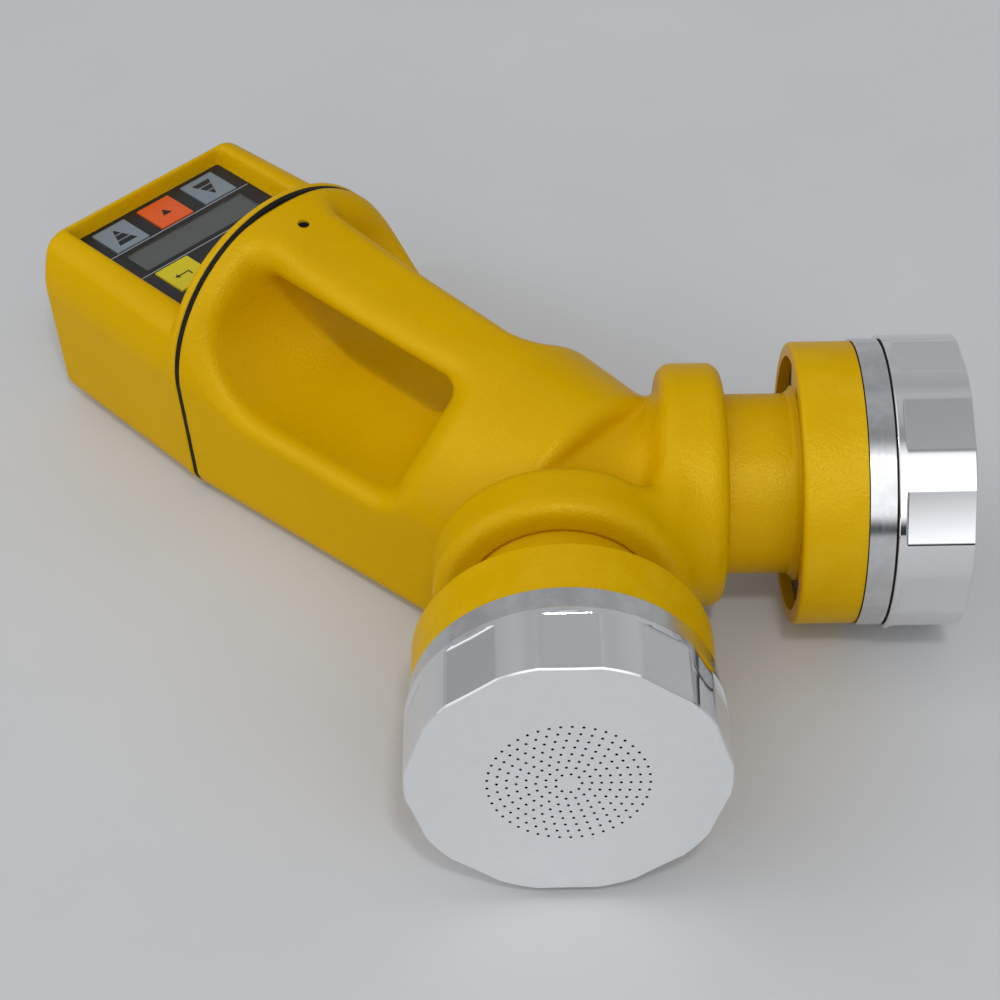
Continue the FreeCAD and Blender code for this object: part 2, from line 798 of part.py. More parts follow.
def build_keypad():
    """Black overlay, display window, four keys, and the display and board under the tray."""
    overlay_top = tray_floor + overlay_thick
    overlay = new_body("keypad_overlay")
    sketch = sketch_on(overlay, "XY_Plane", "sheet", tray_floor)
    edge = tray_half - drop_in_gap
    rectangle(sketch, -edge, edge, tray_front + drop_in_gap, tray_back - drop_in_gap)
    rectangle(sketch, -window_half, window_half, window_front, window_back)
    for across, front in key_places.values():
        rectangle(sketch, across - key_half - key_gap, across + key_half + key_gap,
                  front - key_gap, front + key_depth + key_gap)
    pad(overlay, sketch, overlay_thick)
    keep(overlay)

    window = new_body("display_window_pane")
    sketch = sketch_on(window, "XY_Plane", "pane", tray_floor)
    edge = window_half - drop_in_gap
    rectangle(sketch, -edge, edge, window_front + drop_in_gap, window_back - drop_in_gap)
    pad(window, sketch, overlay_thick)
    keep(window)

    for name, (across, front) in key_places.items():
        key = new_body(name)
        top = overlay_top + key_rise
        sketch = sketch_on(key, "XY_Plane", "cap", top - key_thick)
        rectangle(sketch, across - key_half, across + key_half, front, front + key_depth)
        pad(key, sketch, key_thick)
        plunger_low = board_top + switch_high + key_travel
        sketch = sketch_on(key, "XY_Plane", "plunger", plunger_low)
        circle(sketch, across, front + key_depth / 2, plunger_radius)
        pad(key, sketch, top - key_thick - plunger_low)
        keep(key)

    board = new_body("control_board")
    sketch = sketch_on(board, "XY_Plane", "board", board_top - board_thick)
    rectangle(sketch, -board_half, board_half, board_front, board_back)
    for x, y in board_corners:
        circle(sketch, x, y, board_hole)
    pad(board, sketch, board_thick)
    keep(board)

    display = new_body("display_module")
    sketch = sketch_on(display, "XY_Plane", "frame", board_top)
    frame = window_half + display_side
    frame_top = tray_floor - tray_skin - drop_in_gap
    rectangle(sketch, -frame, frame, window_front - window_rim, window_back + tray_slope)
    pad(display, sketch, frame_top - board_top)
    sketch = sketch_on(display, "XY_Plane", "glass", frame_top - drop_in_gap)
    rim = window_rim + key_gap
    rectangle(sketch, rim - window_half, window_half - rim, window_front + rim, window_back - rim)
    pad(display, sketch, tray_skin + drop_in_gap)
    keep(display)

    switches = new_body("key_switches")
    sketch = sketch_on(switches, "XY_Plane", "switches", board_top)
    for across, front in key_places.values():
        middle = front + key_depth / 2
        rectangle(sketch, across - switch_half, across + switch_half, middle - switch_half,
                  middle + switch_half)
    pad(switches, sketch, switch_high)
    keep(switches)

    screws = []
    for n, (x, y) in enumerate(board_corners):
        low = board_top - board_thick
        screws.append(peg(f"board_screw_{n}", x, y, low, board_screw_radius, board_screw_length))
        screws.append(peg(f"board_screw_head_{n}", x, y, low - board_screw_head,
                          board_screw_radius * 2, board_screw_head))
    keep(fused("board_screws", *screws))


def build_fittings():
    """Battery, charging inlet, rubber feet, screws and the tripod bush."""
    battery = new_body("battery_pack")
    sketch = sketch_on(battery, "XY_Plane", "foot", casing_wall - base_drop)
    rectangle(sketch, -battery_half, battery_half, battery_front, battery_back)
    pad(battery, sketch, battery_high)
    keep(battery)

    inlet = turned("charging_inlet", [
        (0, -inlet_depth), (inlet_radius, -inlet_depth), (inlet_radius, 0),
        (inlet_radius + inlet_rim, 0), (inlet_radius + inlet_rim, inlet_rim_thick),
        (inlet_socket, inlet_rim_thick), (inlet_socket, -inlet_socket_depth),
        (inlet_pin, -inlet_socket_depth), (inlet_pin, -inlet_pin_top), (0, -inlet_pin_top),
    ])
    place = Placement(Vector(0, axis_place.value + rear_face.value,
                             axis_height.value + inlet_height.value),
                      Rotation(Vector(1, 0, 0), -90))
    inlet.Placement = place
    inlet.setExpression("Placement.Base.y", (axis_place + rear_face).formula)
    inlet.setExpression("Placement.Base.z", (axis_height + inlet_height).formula)
    pieces.append(inlet)

    feet = []
    for side in HEADS.values():
        feet.append(rod(f"high_foot_{side + 1}", foot_across * side, foot_up, rear_face,
                        foot_radius, foot_thick))
        feet.append(rod(f"low_foot_{side + 1}", low_foot_across * side, -low_foot_down, rear_face,
                        foot_radius, foot_thick))
    keep(fused("rear_feet", *feet))

    shank = peg("handle_screw_shank", 0, screw_place, screw_low, screw_radius, screw_well - screw_low)
    head = peg("handle_screw_head", 0, screw_place, screw_well, screw_radius + drop_in_gap,
               screw_head_high)
    keep(fused("handle_screw", shank, head))

    base_screws = []
    for side in HEADS.values():
        place = base_screw_side * side
        low = base_head_low - base_drop
        base_screws.append(peg(f"base_screw_head_{side + 1}", place, screw_place, low,
                               screw_head_radius, base_head_high))
        base_screws.append(peg(f"base_screw_shank_{side + 1}", place, screw_place, low,
                               screw_radius, base_head_high + base_boss_high))
    keep(fused("base_screws", *base_screws))

    bush = turned("tripod_bush", [
        (bush_bore, 0), (bush_radius, 0), (bush_radius, bush_length), (bush_bore, bush_length),
    ])
    bush.Placement = Placement(Vector(0, axis_place.value + bush_place.value, 0), Rotation())
    bush.setExpression("Placement.Base.y", (axis_place + bush_place).formula)
    pieces.append(bush)


# ---------------------------------------------------------------- one sampling head

def sector(sketch, inner, outer, angle):
    """A part of a ring, centred on the sketch's vertical axis."""
    half = math.radians(angle.value / 2)
    cosine = sized(math.cos(half))
    sine = sized(math.sin(half))
    outline(sketch, [
        (inner * sine, inner * cosine), (outer * sine, outer * cosine, outer),
        (-outer * sine, outer * cosine), (-inner * sine, inner * cosine, -inner),
    ])


def build_head(name, side):
    """All the pieces of one sampling head, drawn with Z along the head's axis."""
    place = head_place(side)

    shell = turned(f"{name}_head_shell", [
        (neck_bore, socket_depth_at), (neck_radius, socket_depth_at), (neck_radius, web_back - neck_fillet),
        (neck_radius + neck_flare, web_back), (vent_outer, web_back), (vent_outer, shell_back),
        (shell_radius - shell_round, shell_back, shell_round),
        (shell_radius, shell_back + shell_round),
        (shell_radius, shell_front), (shell_bore, shell_front), (shell_bore, web_front),
        (neck_bore, web_front),
    ])
    sketch = sketch_on(shell, "XY_Plane", "vent", web_back - overcut, vent_turn * side)
    sector(sketch, vent_inner, vent_outer, vent_angle)
    repeat(shell, [pocket(shell, sketch, hole_depth, Reversed=True)], VENTS)
    sketch = sketch_on(shell, "XY_Plane", "screw_hole", web_back - overcut)
    circle(sketch, 0, motor_screw_ring, motor_screw_radius + fit_gap)
    repeat(shell, [pocket(shell, sketch, hole_depth, Reversed=True)], MOTOR_SCREWS)
    keep(shell, place)

    plate = new_body(f"{name}_motor_plate")
    sketch = sketch_on(plate, "XY_Plane", "plate", web_front)
    circle(sketch, 0, 0, motor_plate_radius)
    circle(sketch, 0, 0, motor_boss + fit_gap)
    pad(plate, sketch, motor_plate_front - web_front)
    sketch = sketch_on(plate, "XY_Plane", "screw_hole", web_front - overcut)
    circle(sketch, 0, motor_screw_ring, motor_screw_radius + fit_gap)
    repeat(plate, [pocket(plate, sketch, hole_depth, Reversed=True)], MOTOR_SCREWS)
    keep(plate, place)

    screws = new_body(f"{name}_motor_screws")
    sketch = sketch_on(screws, "XY_Plane", "shank", web_back)
    circle(sketch, 0, motor_screw_ring, motor_screw_radius)
    shank = pad(screws, sketch, motor_plate_front - web_back)
    sketch = sketch_on(screws, "XY_Plane", "head", motor_plate_front)
    circle(sketch, 0, motor_screw_ring, motor_screw_radius * 2)
    head = pad(screws, sketch, motor_screw_head)
    repeat(screws, [shank, head], MOTOR_SCREWS)
    keep(screws, place)

    screen = new_body(f"{name}_vent_screen")
    sketch = sketch_on(screen, "XY_Plane", "screen", web_front)
    circle(sketch, 0, 0, shell_bore - drop_in_gap)
    circle(sketch, 0, 0, motor_plate_radius + drop_in_gap)
    pad(screen, sketch, screen_thick)
    keep(screen, place)

    motor = turned(f"{name}_motor", [
        (0, motor_back), (motor_radius, motor_back), (motor_radius, web_front),
        (motor_boss, web_front), (motor_boss, motor_plate_front),
        (shaft_radius + fit_gap, motor_plate_front), (shaft_radius + fit_gap, shaft_back - overcut),
        (0, shaft_back - overcut),
    ])
    keep(motor, place)

    shaft = turned(f"{name}_motor_shaft", [
        (0, shaft_back), (shaft_radius, shaft_back), (shaft_radius, shaft_front),
        (0, shaft_front),
    ])
    keep(shaft, place)

    fan = turned(f"{name}_impeller", [
        (shaft_radius, fan_back), (fan_radius, fan_back), (fan_radius, fan_back + fan_disc),
        (fan_hub + fan_disc, fan_back + fan_disc), (fan_hub, fan_front), (0, fan_front),
        (0, shaft_front), (shaft_radius, shaft_front),
    ])
    blade_low = fan_back + fan_disc / 2
    sketch = sketch_on(fan, "XY_Plane", "blade", blade_low)
    tip_across = fan_radius * blade_tip_across
    tip_up = fan_radius * blade_tip_up
    outline(sketch, [
        (blade_root, blade_root), (tip_across, tip_up), (tip_across - blade_thick, tip_up),
        (blade_root - blade_thick, blade_root),
    ])
    repeat(fan, [pad(fan, sketch, fan_front - blade_low)], BLADES)
    keep(fan, place)

    seal = new_body(f"{name}_ring_seal")
    sketch = sketch_on(seal, "XY_Plane", "seal", shell_front)
    circle(sketch, 0, 0, shell_radius - seal_recess)
    circle(sketch, 0, 0, shell_bore)
    pad(seal, sketch, holder_back - shell_front)
    keep(seal, place)

    holder = turned(f"{name}_plate_holder", [
        (0, pedestal_top - sheet_wall), (pedestal_radius - pedestal_wall, pedestal_top - sheet_wall),
        (pedestal_radius - pedestal_wall, holder_back + dish_low),
        (holder_bore, holder_back + dish_low), (holder_bore, spigot_back),
        (shell_bore - holder_gap, spigot_back), (shell_bore - holder_gap, holder_back),
        (holder_radius, holder_back),
        (holder_radius, holder_front), (spigot_radius, holder_front),
        (spigot_radius, spigot_front), (holder_bore, spigot_front),
        (holder_bore, holder_back + dish_high), (pedestal_radius, holder_back + dish_high),
        (pedestal_radius, pedestal_top), (0, pedestal_top),
    ])
    sketch = sketch_on(holder, "XY_Plane", "air_slot", holder_back)
    sector(sketch, pedestal_radius + slot_rim, holder_bore - slot_rim, slot_angle)
    repeat(holder, [pocket(holder, sketch, hole_depth, Reversed=True)], AIR_SLOTS)
    keep(holder, place)

    clips = new_body(f"{name}_plate_clips")
    clip_outer = pedestal_radius + clip_thick
    sketch = sketch_on(clips, "XY_Plane", "leaf", pedestal_top - clip_low, clip_turn)
    sector(sketch, pedestal_radius, clip_outer, clip_angle)
    leaf = pad(clips, sketch, clip_low + clip_reach)
    sketch = sketch_on(clips, "XY_Plane", "hook", pedestal_top + clip_reach, clip_turn)
    sector(sketch, pedestal_radius - clip_hook, clip_outer, clip_angle)
    hook = pad(clips, sketch, clip_thick)
    repeat(clips, [leaf, hook], CLIPS)
    keep(clips, place)

    cap_seal = new_body(f"{name}_cap_seal")
    sketch = sketch_on(cap_seal, "XY_Plane", "seal", holder_front)
    circle(sketch, 0, 0, holder_radius - seal_recess)
    circle(sketch, 0, 0, spigot_radius + cap_clear)
    pad(cap_seal, sketch, cap_back - holder_front)
    keep(cap_seal, place)

    cap = turned(f"{name}_cap", [
        (spigot_radius + cap_clear, cap_back), (cap_radius - cap_edge, cap_back),
        (cap_radius, cap_back + cap_edge), (cap_radius, cap_front - cap_edge),
        (cap_radius - cap_edge, cap_front), (0, cap_front), (0, cap_front - cap_plate),
        (spigot_radius + cap_clear, cap_front - cap_plate),
    ])
    sketch = sketch_on(cap, "XY_Plane", "flute", flute_back, FLUTE_TURN[name])
    circle(sketch, 0, cap_radius - flute_depth + flute_radius, flute_radius)
    repeat(cap, [pocket(cap, sketch, cap_front - flute_back + overcut, Reversed=True)], FLUTES)
    for number, count in enumerate(JET_RINGS):
        sketch = sketch_on(cap, "XY_Plane", "jet", cap_front - cap_plate - overcut)
        circle(sketch, 0, jet_first_ring + jet_ring_step * number, jet_radius)
        repeat(cap, [pocket(cap, sketch, cap_plate + overcut * 2, Reversed=True)], count)
    keep(cap, place)


build_front_body()
build_rear_housing()
build_gasket()
build_keypad()
build_fittings()
for head_name, head_side in HEADS.items():
    build_head(head_name, head_side)
doc.recompute()

# ---------------------------------------------------------------- checks and files

for item in doc.Objects:
    if "Invalid" in item.State or "Error" in item.State:
        raise RuntimeError(f"{item.Label} failed: {item.State}")
os.makedirs("parts", exist_ok=True)
for item in pieces:
    shape = item.Shape
    if shape.isNull() or not shape.isValid():
        raise RuntimeError(f"{item.Label} has no valid shape")
    box = shape.BoundBox
    print(f"{item.Label:24s} {len(shape.Solids):3d} solids {shape.Volume / 1000:9.2f} cm3"
          f"  {box.XMin:7.1f} {box.XMax:7.1f} {box.YMin:7.1f} {box.YMax:7.1f}"
          f" {box.ZMin:7.1f} {box.ZMax:7.1f}")
    shape.exportStep(os.path.join("parts", f"{item.Label}.step"))
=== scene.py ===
import json
import math

import bmesh
import bpy
import numpy as np
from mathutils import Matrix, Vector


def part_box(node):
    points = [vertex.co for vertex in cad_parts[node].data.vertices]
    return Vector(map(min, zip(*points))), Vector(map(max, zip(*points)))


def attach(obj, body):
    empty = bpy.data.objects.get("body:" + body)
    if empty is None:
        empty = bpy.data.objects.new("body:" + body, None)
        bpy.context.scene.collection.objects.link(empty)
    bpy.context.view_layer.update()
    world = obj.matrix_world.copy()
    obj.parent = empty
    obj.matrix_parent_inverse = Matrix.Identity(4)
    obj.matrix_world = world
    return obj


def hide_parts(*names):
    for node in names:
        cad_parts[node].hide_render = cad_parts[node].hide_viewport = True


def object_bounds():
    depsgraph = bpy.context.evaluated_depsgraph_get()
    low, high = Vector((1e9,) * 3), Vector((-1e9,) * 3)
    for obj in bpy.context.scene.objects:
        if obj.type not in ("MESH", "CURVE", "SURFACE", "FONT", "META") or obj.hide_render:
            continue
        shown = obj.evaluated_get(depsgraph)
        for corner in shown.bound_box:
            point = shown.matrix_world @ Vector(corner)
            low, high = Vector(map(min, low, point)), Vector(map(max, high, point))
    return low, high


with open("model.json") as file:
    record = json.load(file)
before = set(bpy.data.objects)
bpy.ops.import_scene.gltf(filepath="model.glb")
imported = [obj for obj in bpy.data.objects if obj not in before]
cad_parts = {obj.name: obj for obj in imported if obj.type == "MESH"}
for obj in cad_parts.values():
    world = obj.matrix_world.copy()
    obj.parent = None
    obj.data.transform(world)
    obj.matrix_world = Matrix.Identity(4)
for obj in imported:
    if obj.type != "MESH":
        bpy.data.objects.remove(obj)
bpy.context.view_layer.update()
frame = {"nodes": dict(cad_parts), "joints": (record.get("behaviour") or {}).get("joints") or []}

import openvdb
from mathutils import Matrix, Vector

# ---------------------------------------------------------------- front casing
# The front casing is one hollow moulding in glass-filled plastic: trunk, through handle, two short
# arms at right angles and their thick collars.  It is sprayed yellow, with a fine orange peel.

MM = 0.001
NODES = frame["nodes"]
JOINTS = {joint["name"]: joint for joint in frame["joints"]}
CROSSING = Vector(JOINTS["left_fan_spin"]["pos_m"])
HEADS = {side: Vector(JOINTS[f"{side}_fan_spin"]["axis"]) for side in ("left", "right")}


def round_cut(first, second, radius):
    """What two distance fields share, with the edge between them rounded."""
    outside = np.hypot(np.maximum(first + radius, 0), np.maximum(second + radius, 0))
    return np.minimum(np.maximum(first, second), -radius) + outside


def round_join(first, second, radius):
    """Two distance fields joined, with a fillet of that radius between them."""
    return -round_cut(-first, -second, radius)


CASING_RADIUS, BASE_DROP, BASE_CORNER, SIDE_LEAN = 55.0, 55.0, 11.0, 0.065


def casing_section(x, z, radius):
    """Round above the axis, leaning in slightly below it, with a flat base and round corners."""
    side = np.abs(x) - radius * (1 + SIDE_LEAN * np.minimum(z, 0) / (BASE_DROP - BASE_CORNER))
    lower = round_cut(side, -BASE_DROP - z, BASE_CORNER)
    return np.where(z > 0, np.hypot(x, z) - radius, lower)


def new_piece(name, points, faces, smooth=True):
    """A mesh object from points in metres and their faces."""
    mesh = bpy.data.meshes.new(name)
    mesh.from_pydata(points, [], faces)
    mesh.polygons.foreach_set("use_smooth", [smooth] * len(mesh.polygons))
    mesh.update()
    piece = bpy.data.objects.new(name, mesh)
    bpy.context.scene.collection.objects.link(piece)
    return piece


def sample(values, places):
    """Values between the points of a regular grid, at places given in grid steps."""
    corner = np.clip(places.astype(int), 0, np.array(values.shape) - 2)
    part = places - corner
    total = 0
    for step in np.ndindex(2, 2, 2):
        weight = np.prod(np.where(step, part, 1 - part), axis=1)
        index = corner + step
        total = total + weight * values[index[:, 0], index[:, 1], index[:, 2]]
    return total


def moulded(name, low, high, step, field, node):
    """The surface where a distance field, in mm from the crossing of the head axes, is zero,
    kept inside the box of the CAD node that it stands for."""
    spans = [np.arange(a, b + step, step) for a, b in zip(low, high)]
    distance = field(*np.meshgrid(*spans, indexing="ij", sparse=True))
    band = 3 * step
    grid = openvdb.FloatGrid(band)
    grid.copyFromArray(np.clip(distance, -band, band).astype(np.float32))
    places, quads = grid.convertToQuads()
    places = places.astype(float)
    slopes = np.gradient(distance, step)
    for _ in range(2):
        miss = sample(distance, places)
        slope = np.stack([sample(part, places) for part in slopes], axis=1)
        length = np.maximum((slope * slope).sum(axis=1), 0.25)
        places -= slope * np.clip(miss / length, -0.5 * step, 0.5 * step)[:, None] / step
    points = (places * step + np.array(low)) * MM + np.array(CROSSING)
    points = np.clip(points, *(np.array(corner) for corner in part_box(node)))
    first, second, third = (points[quads[:, corner].astype(int)] for corner in range(3))
    volume = (np.cross(second - first, third - first) * first).sum()
    if volume < 0:
        quads = quads[:, ::-1]
    return new_piece(name, points.tolist(), quads.tolist())


def along_head(x, y, z, axis):
    """Distance along a head's axis, and distance from it."""
    along = x * axis.x + y * axis.y
    return along, np.sqrt((x - along * axis.x) ** 2 + (y - along * axis.y) ** 2 + z * z)


TRUNK_FRONT, TRUNK_BACK, TRUNK_TAPER = -18.0, 140.0, 0.0792
ARM_RADIUS, ARM_END = 31.0, 40.0
COLLAR_RADIUS, COLLAR_BACK, COLLAR_FRONT, COLLAR_ROUND = 43.0, 36.0, 58.5, 5.5
SOCKET_RADIUS, SOCKET_FLOOR = 31.86, 42.0
SCOOP_BACK, SCOOP_FRONT, SCOOP_REACH, SCOOP_DEPTH = 131.0, 56.0, 50.0, 5.0
FRONT_RISE, FRONT_SWEEP = 0.5, 0.4
GRIP_HALF, GRIP_UNDERSIDE = 15.5, 34.5
SADDLE_RADIUS, SADDLE_ALONG, SADDLE_HEIGHT = 260.0, 70.0, 307.0


def front_casing_field(x, y, z):
    """The trunk with its handle and finger scoops, and the arms with their collars."""
    trunk = casing_section(x, z, CASING_RADIUS - TRUNK_TAPER * (TRUNK_BACK - y))
    trunk = round_cut(trunk, TRUNK_FRONT - y, 5.0)
    arms = []
    collars = []
    for axis in HEADS.values():
        along, off = along_head(x, y, z, axis)
        arms.append(np.maximum(np.maximum(off - ARM_RADIUS, -along), along - ARM_END))
        disc = round_cut(off - COLLAR_RADIUS, along - COLLAR_FRONT, COLLAR_ROUND)
        collars.append(round_cut(disc, COLLAR_BACK - along, COLLAR_ROUND))
    inward = np.minimum(*(along_head(x, y, z, axis)[0] for axis in HEADS.values()))
    web = 4.0 + 11.0 * np.clip((inward + 22.0) / 36.0, 0.0, 1.0)
    yoke = round_join(round_join(*arms, 8.0), round_join(*collars, 18.0), web)
    body = round_join(trunk, yoke, 2.5)

    across = np.abs(x)
    steepness = math.sqrt(1 + FRONT_RISE ** 2 + FRONT_SWEEP ** 2)
    front = (SCOOP_FRONT - FRONT_RISE * z - FRONT_SWEEP * across - y) / steepness
    dish = SCOOP_DEPTH * np.sin(np.pi * np.minimum(across, SCOOP_REACH) / SCOOP_REACH)
    floor = -0.5 - dish - z
    scoop = round_cut(floor, y - SCOOP_BACK, 32.0)
    scoop = round_cut(scoop, front, 7.0)
    half = GRIP_HALF + 2.0 * (y + 4.0) / 144.0
    grip = round_cut(across - half, GRIP_UNDERSIDE - z, 8.0)
    scoop = round_cut(scoop, -grip, 7.0)
    body = round_cut(body, -scoop, 8.0)
    saddle = SADDLE_RADIUS - np.hypot(y - SADDLE_ALONG, z - SADDLE_HEIGHT)
    body = round_cut(body, saddle, 6.0)
    for axis in HEADS.values():
        along, off = along_head(x, y, z, axis)
        socket = np.maximum(off - SOCKET_RADIUS, SOCKET_FLOOR - along)
        body = round_cut(body, -socket, 1.2)
    return round_cut(body, y - TRUNK_BACK, 0.7)


ROUND_STEPS = 48


def tube_mesh(work, radius, low, high, place):
    """Add a capped upright cylinder to a bmesh, in mm from the crossing of the head axes."""
    made = bmesh.ops.create_cone(work, cap_ends=True, segments=ROUND_STEPS, radius1=radius * MM,
                                 radius2=radius * MM, depth=(high - low) * MM)
    middle = Vector((place[0], place[1], (low + high) / 2)) * MM + CROSSING
    bmesh.ops.translate(work, verts=made["verts"], vec=middle)


def cut_holes(piece, holes):
    """Cut upright holes, given as (radius, low, high, place)."""
    work = bmesh.new()
    for radius, low, high, place in holes:
        tube_mesh(work, radius, low, high, place)
    mesh = bpy.data.meshes.new("hole_cutter")
    work.to_mesh(mesh)
    work.free()
    cutter = bpy.data.objects.new("hole_cutter", mesh)
    bpy.context.scene.collection.objects.link(cutter)
    modifier = piece.modifiers.new("holes", "BOOLEAN")
    modifier.operation = "DIFFERENCE"
    modifier.solver = "FAST"
    modifier.object = cutter
    settle(piece)
    bpy.data.objects.remove(cutter)


def settle(piece):
    """Apply a piece's modifiers, so that its mesh is what shows."""
    graph = bpy.context.evaluated_depsgraph_get()
    mesh = bpy.data.meshes.new_from_object(piece.evaluated_get(graph))
    piece.modifiers.clear()
    piece.data = mesh


front_casing = moulded("front_casing", (-78, -78, -58), (78, 143, 58), 1.0,
                       front_casing_field, "front_body")
SCREW_ALONG = 126.6
HANDLE_HOLE = 2.2
cut_holes(front_casing, [
    (HANDLE_HOLE, 47.0, 60.0, (0, SCREW_ALONG)),
    (5.0, -60.0, -44.9, (0, 75)),
    (3.5, -60.0, -52.0, (-30, SCREW_ALONG)),
    (3.5, -60.0, -52.0, (30, SCREW_ALONG)),
])


def ring_piece(name, inner, outer, low, high, place):
    """An upright tube, in mm from the crossing of the head axes."""
    points = []
    for radius, level in ((inner, low), (outer, low), (outer, high), (inner, high)):
        for n in range(ROUND_STEPS):
            turn = 2 * math.pi * n / ROUND_STEPS
            spot = Vector((place[0] + radius * math.cos(turn), place[1] + radius * math.sin(turn), level))
            points.append(spot * MM + CROSSING)
    faces = []
    for level in range(4):
        first, second = level * ROUND_STEPS, (level + 1) % 4 * ROUND_STEPS
        for n in range(ROUND_STEPS):
            after = (n + 1) % ROUND_STEPS
            faces.append((first + n, first + after, second + after, second + n))
    return new_piece(name, points, faces, smooth=False)


class Nodes:
    """Short words for building one material's or one group's nodes."""

    def __init__(self, tree):
        self.tree = tree

    def node(self, kind, **settings):
        item = self.tree.nodes.new(kind)
        for key, setting in settings.items():
            setattr(item, key, setting)
        return item

    def link(self, source, target):
        self.tree.links.new(source, target)

    def feed(self, socket, value):
        if isinstance(value, bpy.types.NodeSocket):
            self.link(value, socket)
        elif value is not None:
            socket.default_value = value

    def maths(self, operation, *values, clamp=False):
        item = self.node("ShaderNodeMath", operation=operation, use_clamp=clamp)
        for socket, value in zip(item.inputs, values):
            self.feed(socket, value)
        return item.outputs[0]

    def noise(self, where, scale, detail=2.0, roughness=0.5, distortion=0.0):
        item = self.node("ShaderNodeTexNoise")
        self.feed(item.inputs["Vector"], where)
        self.feed(item.inputs["Scale"], scale)
        item.inputs["Detail"].default_value = detail
        item.inputs["Roughness"].default_value = roughness
        item.inputs["Distortion"].default_value = distortion
        return item.outputs["Fac"]

    def span(self, value, low, high, to_low=0.0, to_high=1.0):
        item = self.node("ShaderNodeMapRange")
        item.clamp = True
        for key, number in {"Value": value, "From Min": low, "From Max": high,
                            "To Min": to_low, "To Max": to_high}.items():
            self.feed(item.inputs[key], number)
        return item.outputs["Result"]

    def mixed(self, factor, first, second, kind="MIX"):
        item = self.node("ShaderNodeMix", data_type="RGBA", blend_type=kind)
        self.feed(item.inputs[0], factor)
        self.feed(item.inputs[6], first)
        self.feed(item.inputs[7], second)
        return item.outputs[2]

    def place(self):
        return self.node("ShaderNodeTexCoord").outputs["Object"]

    def bump(self, height, distance, strength=1.0):
        item = self.node("ShaderNodeBump")
        item.inputs["Strength"].default_value = strength
        item.inputs["Distance"].default_value = distance
        self.feed(item.inputs["Height"], height)
        return item.outputs["Normal"]


def new_group(name, inputs, outputs):
    """A shader node group with named float or colour inputs and outputs."""
    tree = bpy.data.node_groups.new(name, "ShaderNodeTree")
    kinds = {"Colour": "NodeSocketColor", "Normal": "NodeSocketVector"}
    for label, value in inputs.items():
        kind = "NodeSocketColor" if isinstance(value, tuple) else "NodeSocketFloat"
        socket = tree.interface.new_socket(label, in_out="INPUT", socket_type=kind)
        socket.default_value = value
    for label in outputs:
        tree.interface.new_socket(label, in_out="OUTPUT", socket_type=kinds.get(label, "NodeSocketFloat"))
    make = Nodes(tree)
    return tree, make, make.node("NodeGroupInput").outputs, make.node("NodeGroupOutput").inputs


def wear_group():
    """Edge wear and dust: where the edges stand out, and a soft uneven grime over the rest."""
    tree, make, given, wanted = new_group(
        "edge_wear", {"Size": 90.0, "Amount": 1.0}, ("Edges", "Grime"))
    where = make.place()
    pointed = make.node("ShaderNodeNewGeometry").outputs["Pointiness"]
    patch = make.noise(where, given["Size"], 5.0, 0.62)
    edge = make.span(pointed, 0.515, 0.56)
    broken = make.span(patch, 0.42, 0.62)
    make.link(make.maths("MULTIPLY", make.maths("MULTIPLY", edge, broken), given["Amount"]),
              wanted["Edges"])
    hollow = make.span(pointed, 0.5, 0.44)
    stain = make.span(make.noise(where, 26.0, 6.0, 0.6), 0.35, 0.75)
    make.link(make.maths("ADD", make.maths("MULTIPLY", hollow, 0.6),
                         make.maths("MULTIPLY", stain, 0.5), clamp=True), wanted["Grime"])
    return tree


def peel_group():
    """Orange peel: small rounded pimples of unequal height, as a sprayed textured paint dries."""
    tree, make, given, wanted = new_group(
        "orange_peel", {"Scale": 620.0}, ("Height", "Glint"))
    where = make.place()
    coarse = make.noise(where, given["Scale"], 2.0, 0.55)
    fine = make.noise(where, make.maths("MULTIPLY", given["Scale"], 2.7), 2.0, 0.5)
    make.link(make.maths("ADD", coarse, make.maths("MULTIPLY", fine, 0.45)), wanted["Height"])
    make.link(make.span(fine, 0.52, 0.72), wanted["Glint"])
    return tree


WEAR = wear_group()
PEEL = peel_group()


def new_material(name):
    """An empty material with its Principled shader, and the node words for it."""
    material = bpy.data.materials.new(name)
    material.use_nodes = True
    make = Nodes(material.node_tree)
    return material, make, material.node_tree.nodes["Principled BSDF"].inputs


def placed_group(make, tree, **values):
    """A group placed in a material with its own values."""
    item = make.node("ShaderNodeGroup")
    item.node_tree = tree
    for key, value in values.items():
        make.feed(item.inputs[key], value)
    return item.outputs


def yellow_paint():
    """Semi-gloss yellow paint on a fine orange peel, a little paler on rubbed edges."""
    material, make, surface = new_material("yellow_textured_paint")
    peel = placed_group(make, PEEL, Scale=880.0)
    wear = placed_group(make, WEAR, Size=70.0, Amount=0.55)
    shade = make.span(make.noise(make.place(), 11.0, 4.0, 0.55), 0.3, 0.7)
    base = make.mixed(shade, (0.66, 0.375, 0.0002, 1), (0.71, 0.41, 0.0003, 1))
    grimy = make.mixed(make.maths("MULTIPLY", wear["Grime"], 0.2), base, (0.38, 0.21, 0.001, 1))
    rubbed = make.mixed(make.maths("MULTIPLY", wear["Edges"], 0.3), grimy, (0.80, 0.55, 0.03, 1))
    make.link(rubbed, surface["Base Color"])
    rough = make.span(make.noise(make.place(), 35.0, 3.0), 0.3, 0.7, 0.20, 0.27)
    make.link(make.maths("SUBTRACT", rough, make.maths("MULTIPLY", peel["Glint"], 0.06)),
              surface["Roughness"])
    slant = make.node("ShaderNodeLayerWeight").outputs["Facing"]
    make.link(make.span(slant, 0.1, 0.36, 0.5, 0.015), surface["Specular IOR Level"])
    surface["Specular Tint"].default_value = (1.0, 0.86, 0.16, 1)
    make.link(make.bump(peel["Height"], 0.0003, 0.9), surface["Normal"])
    return material


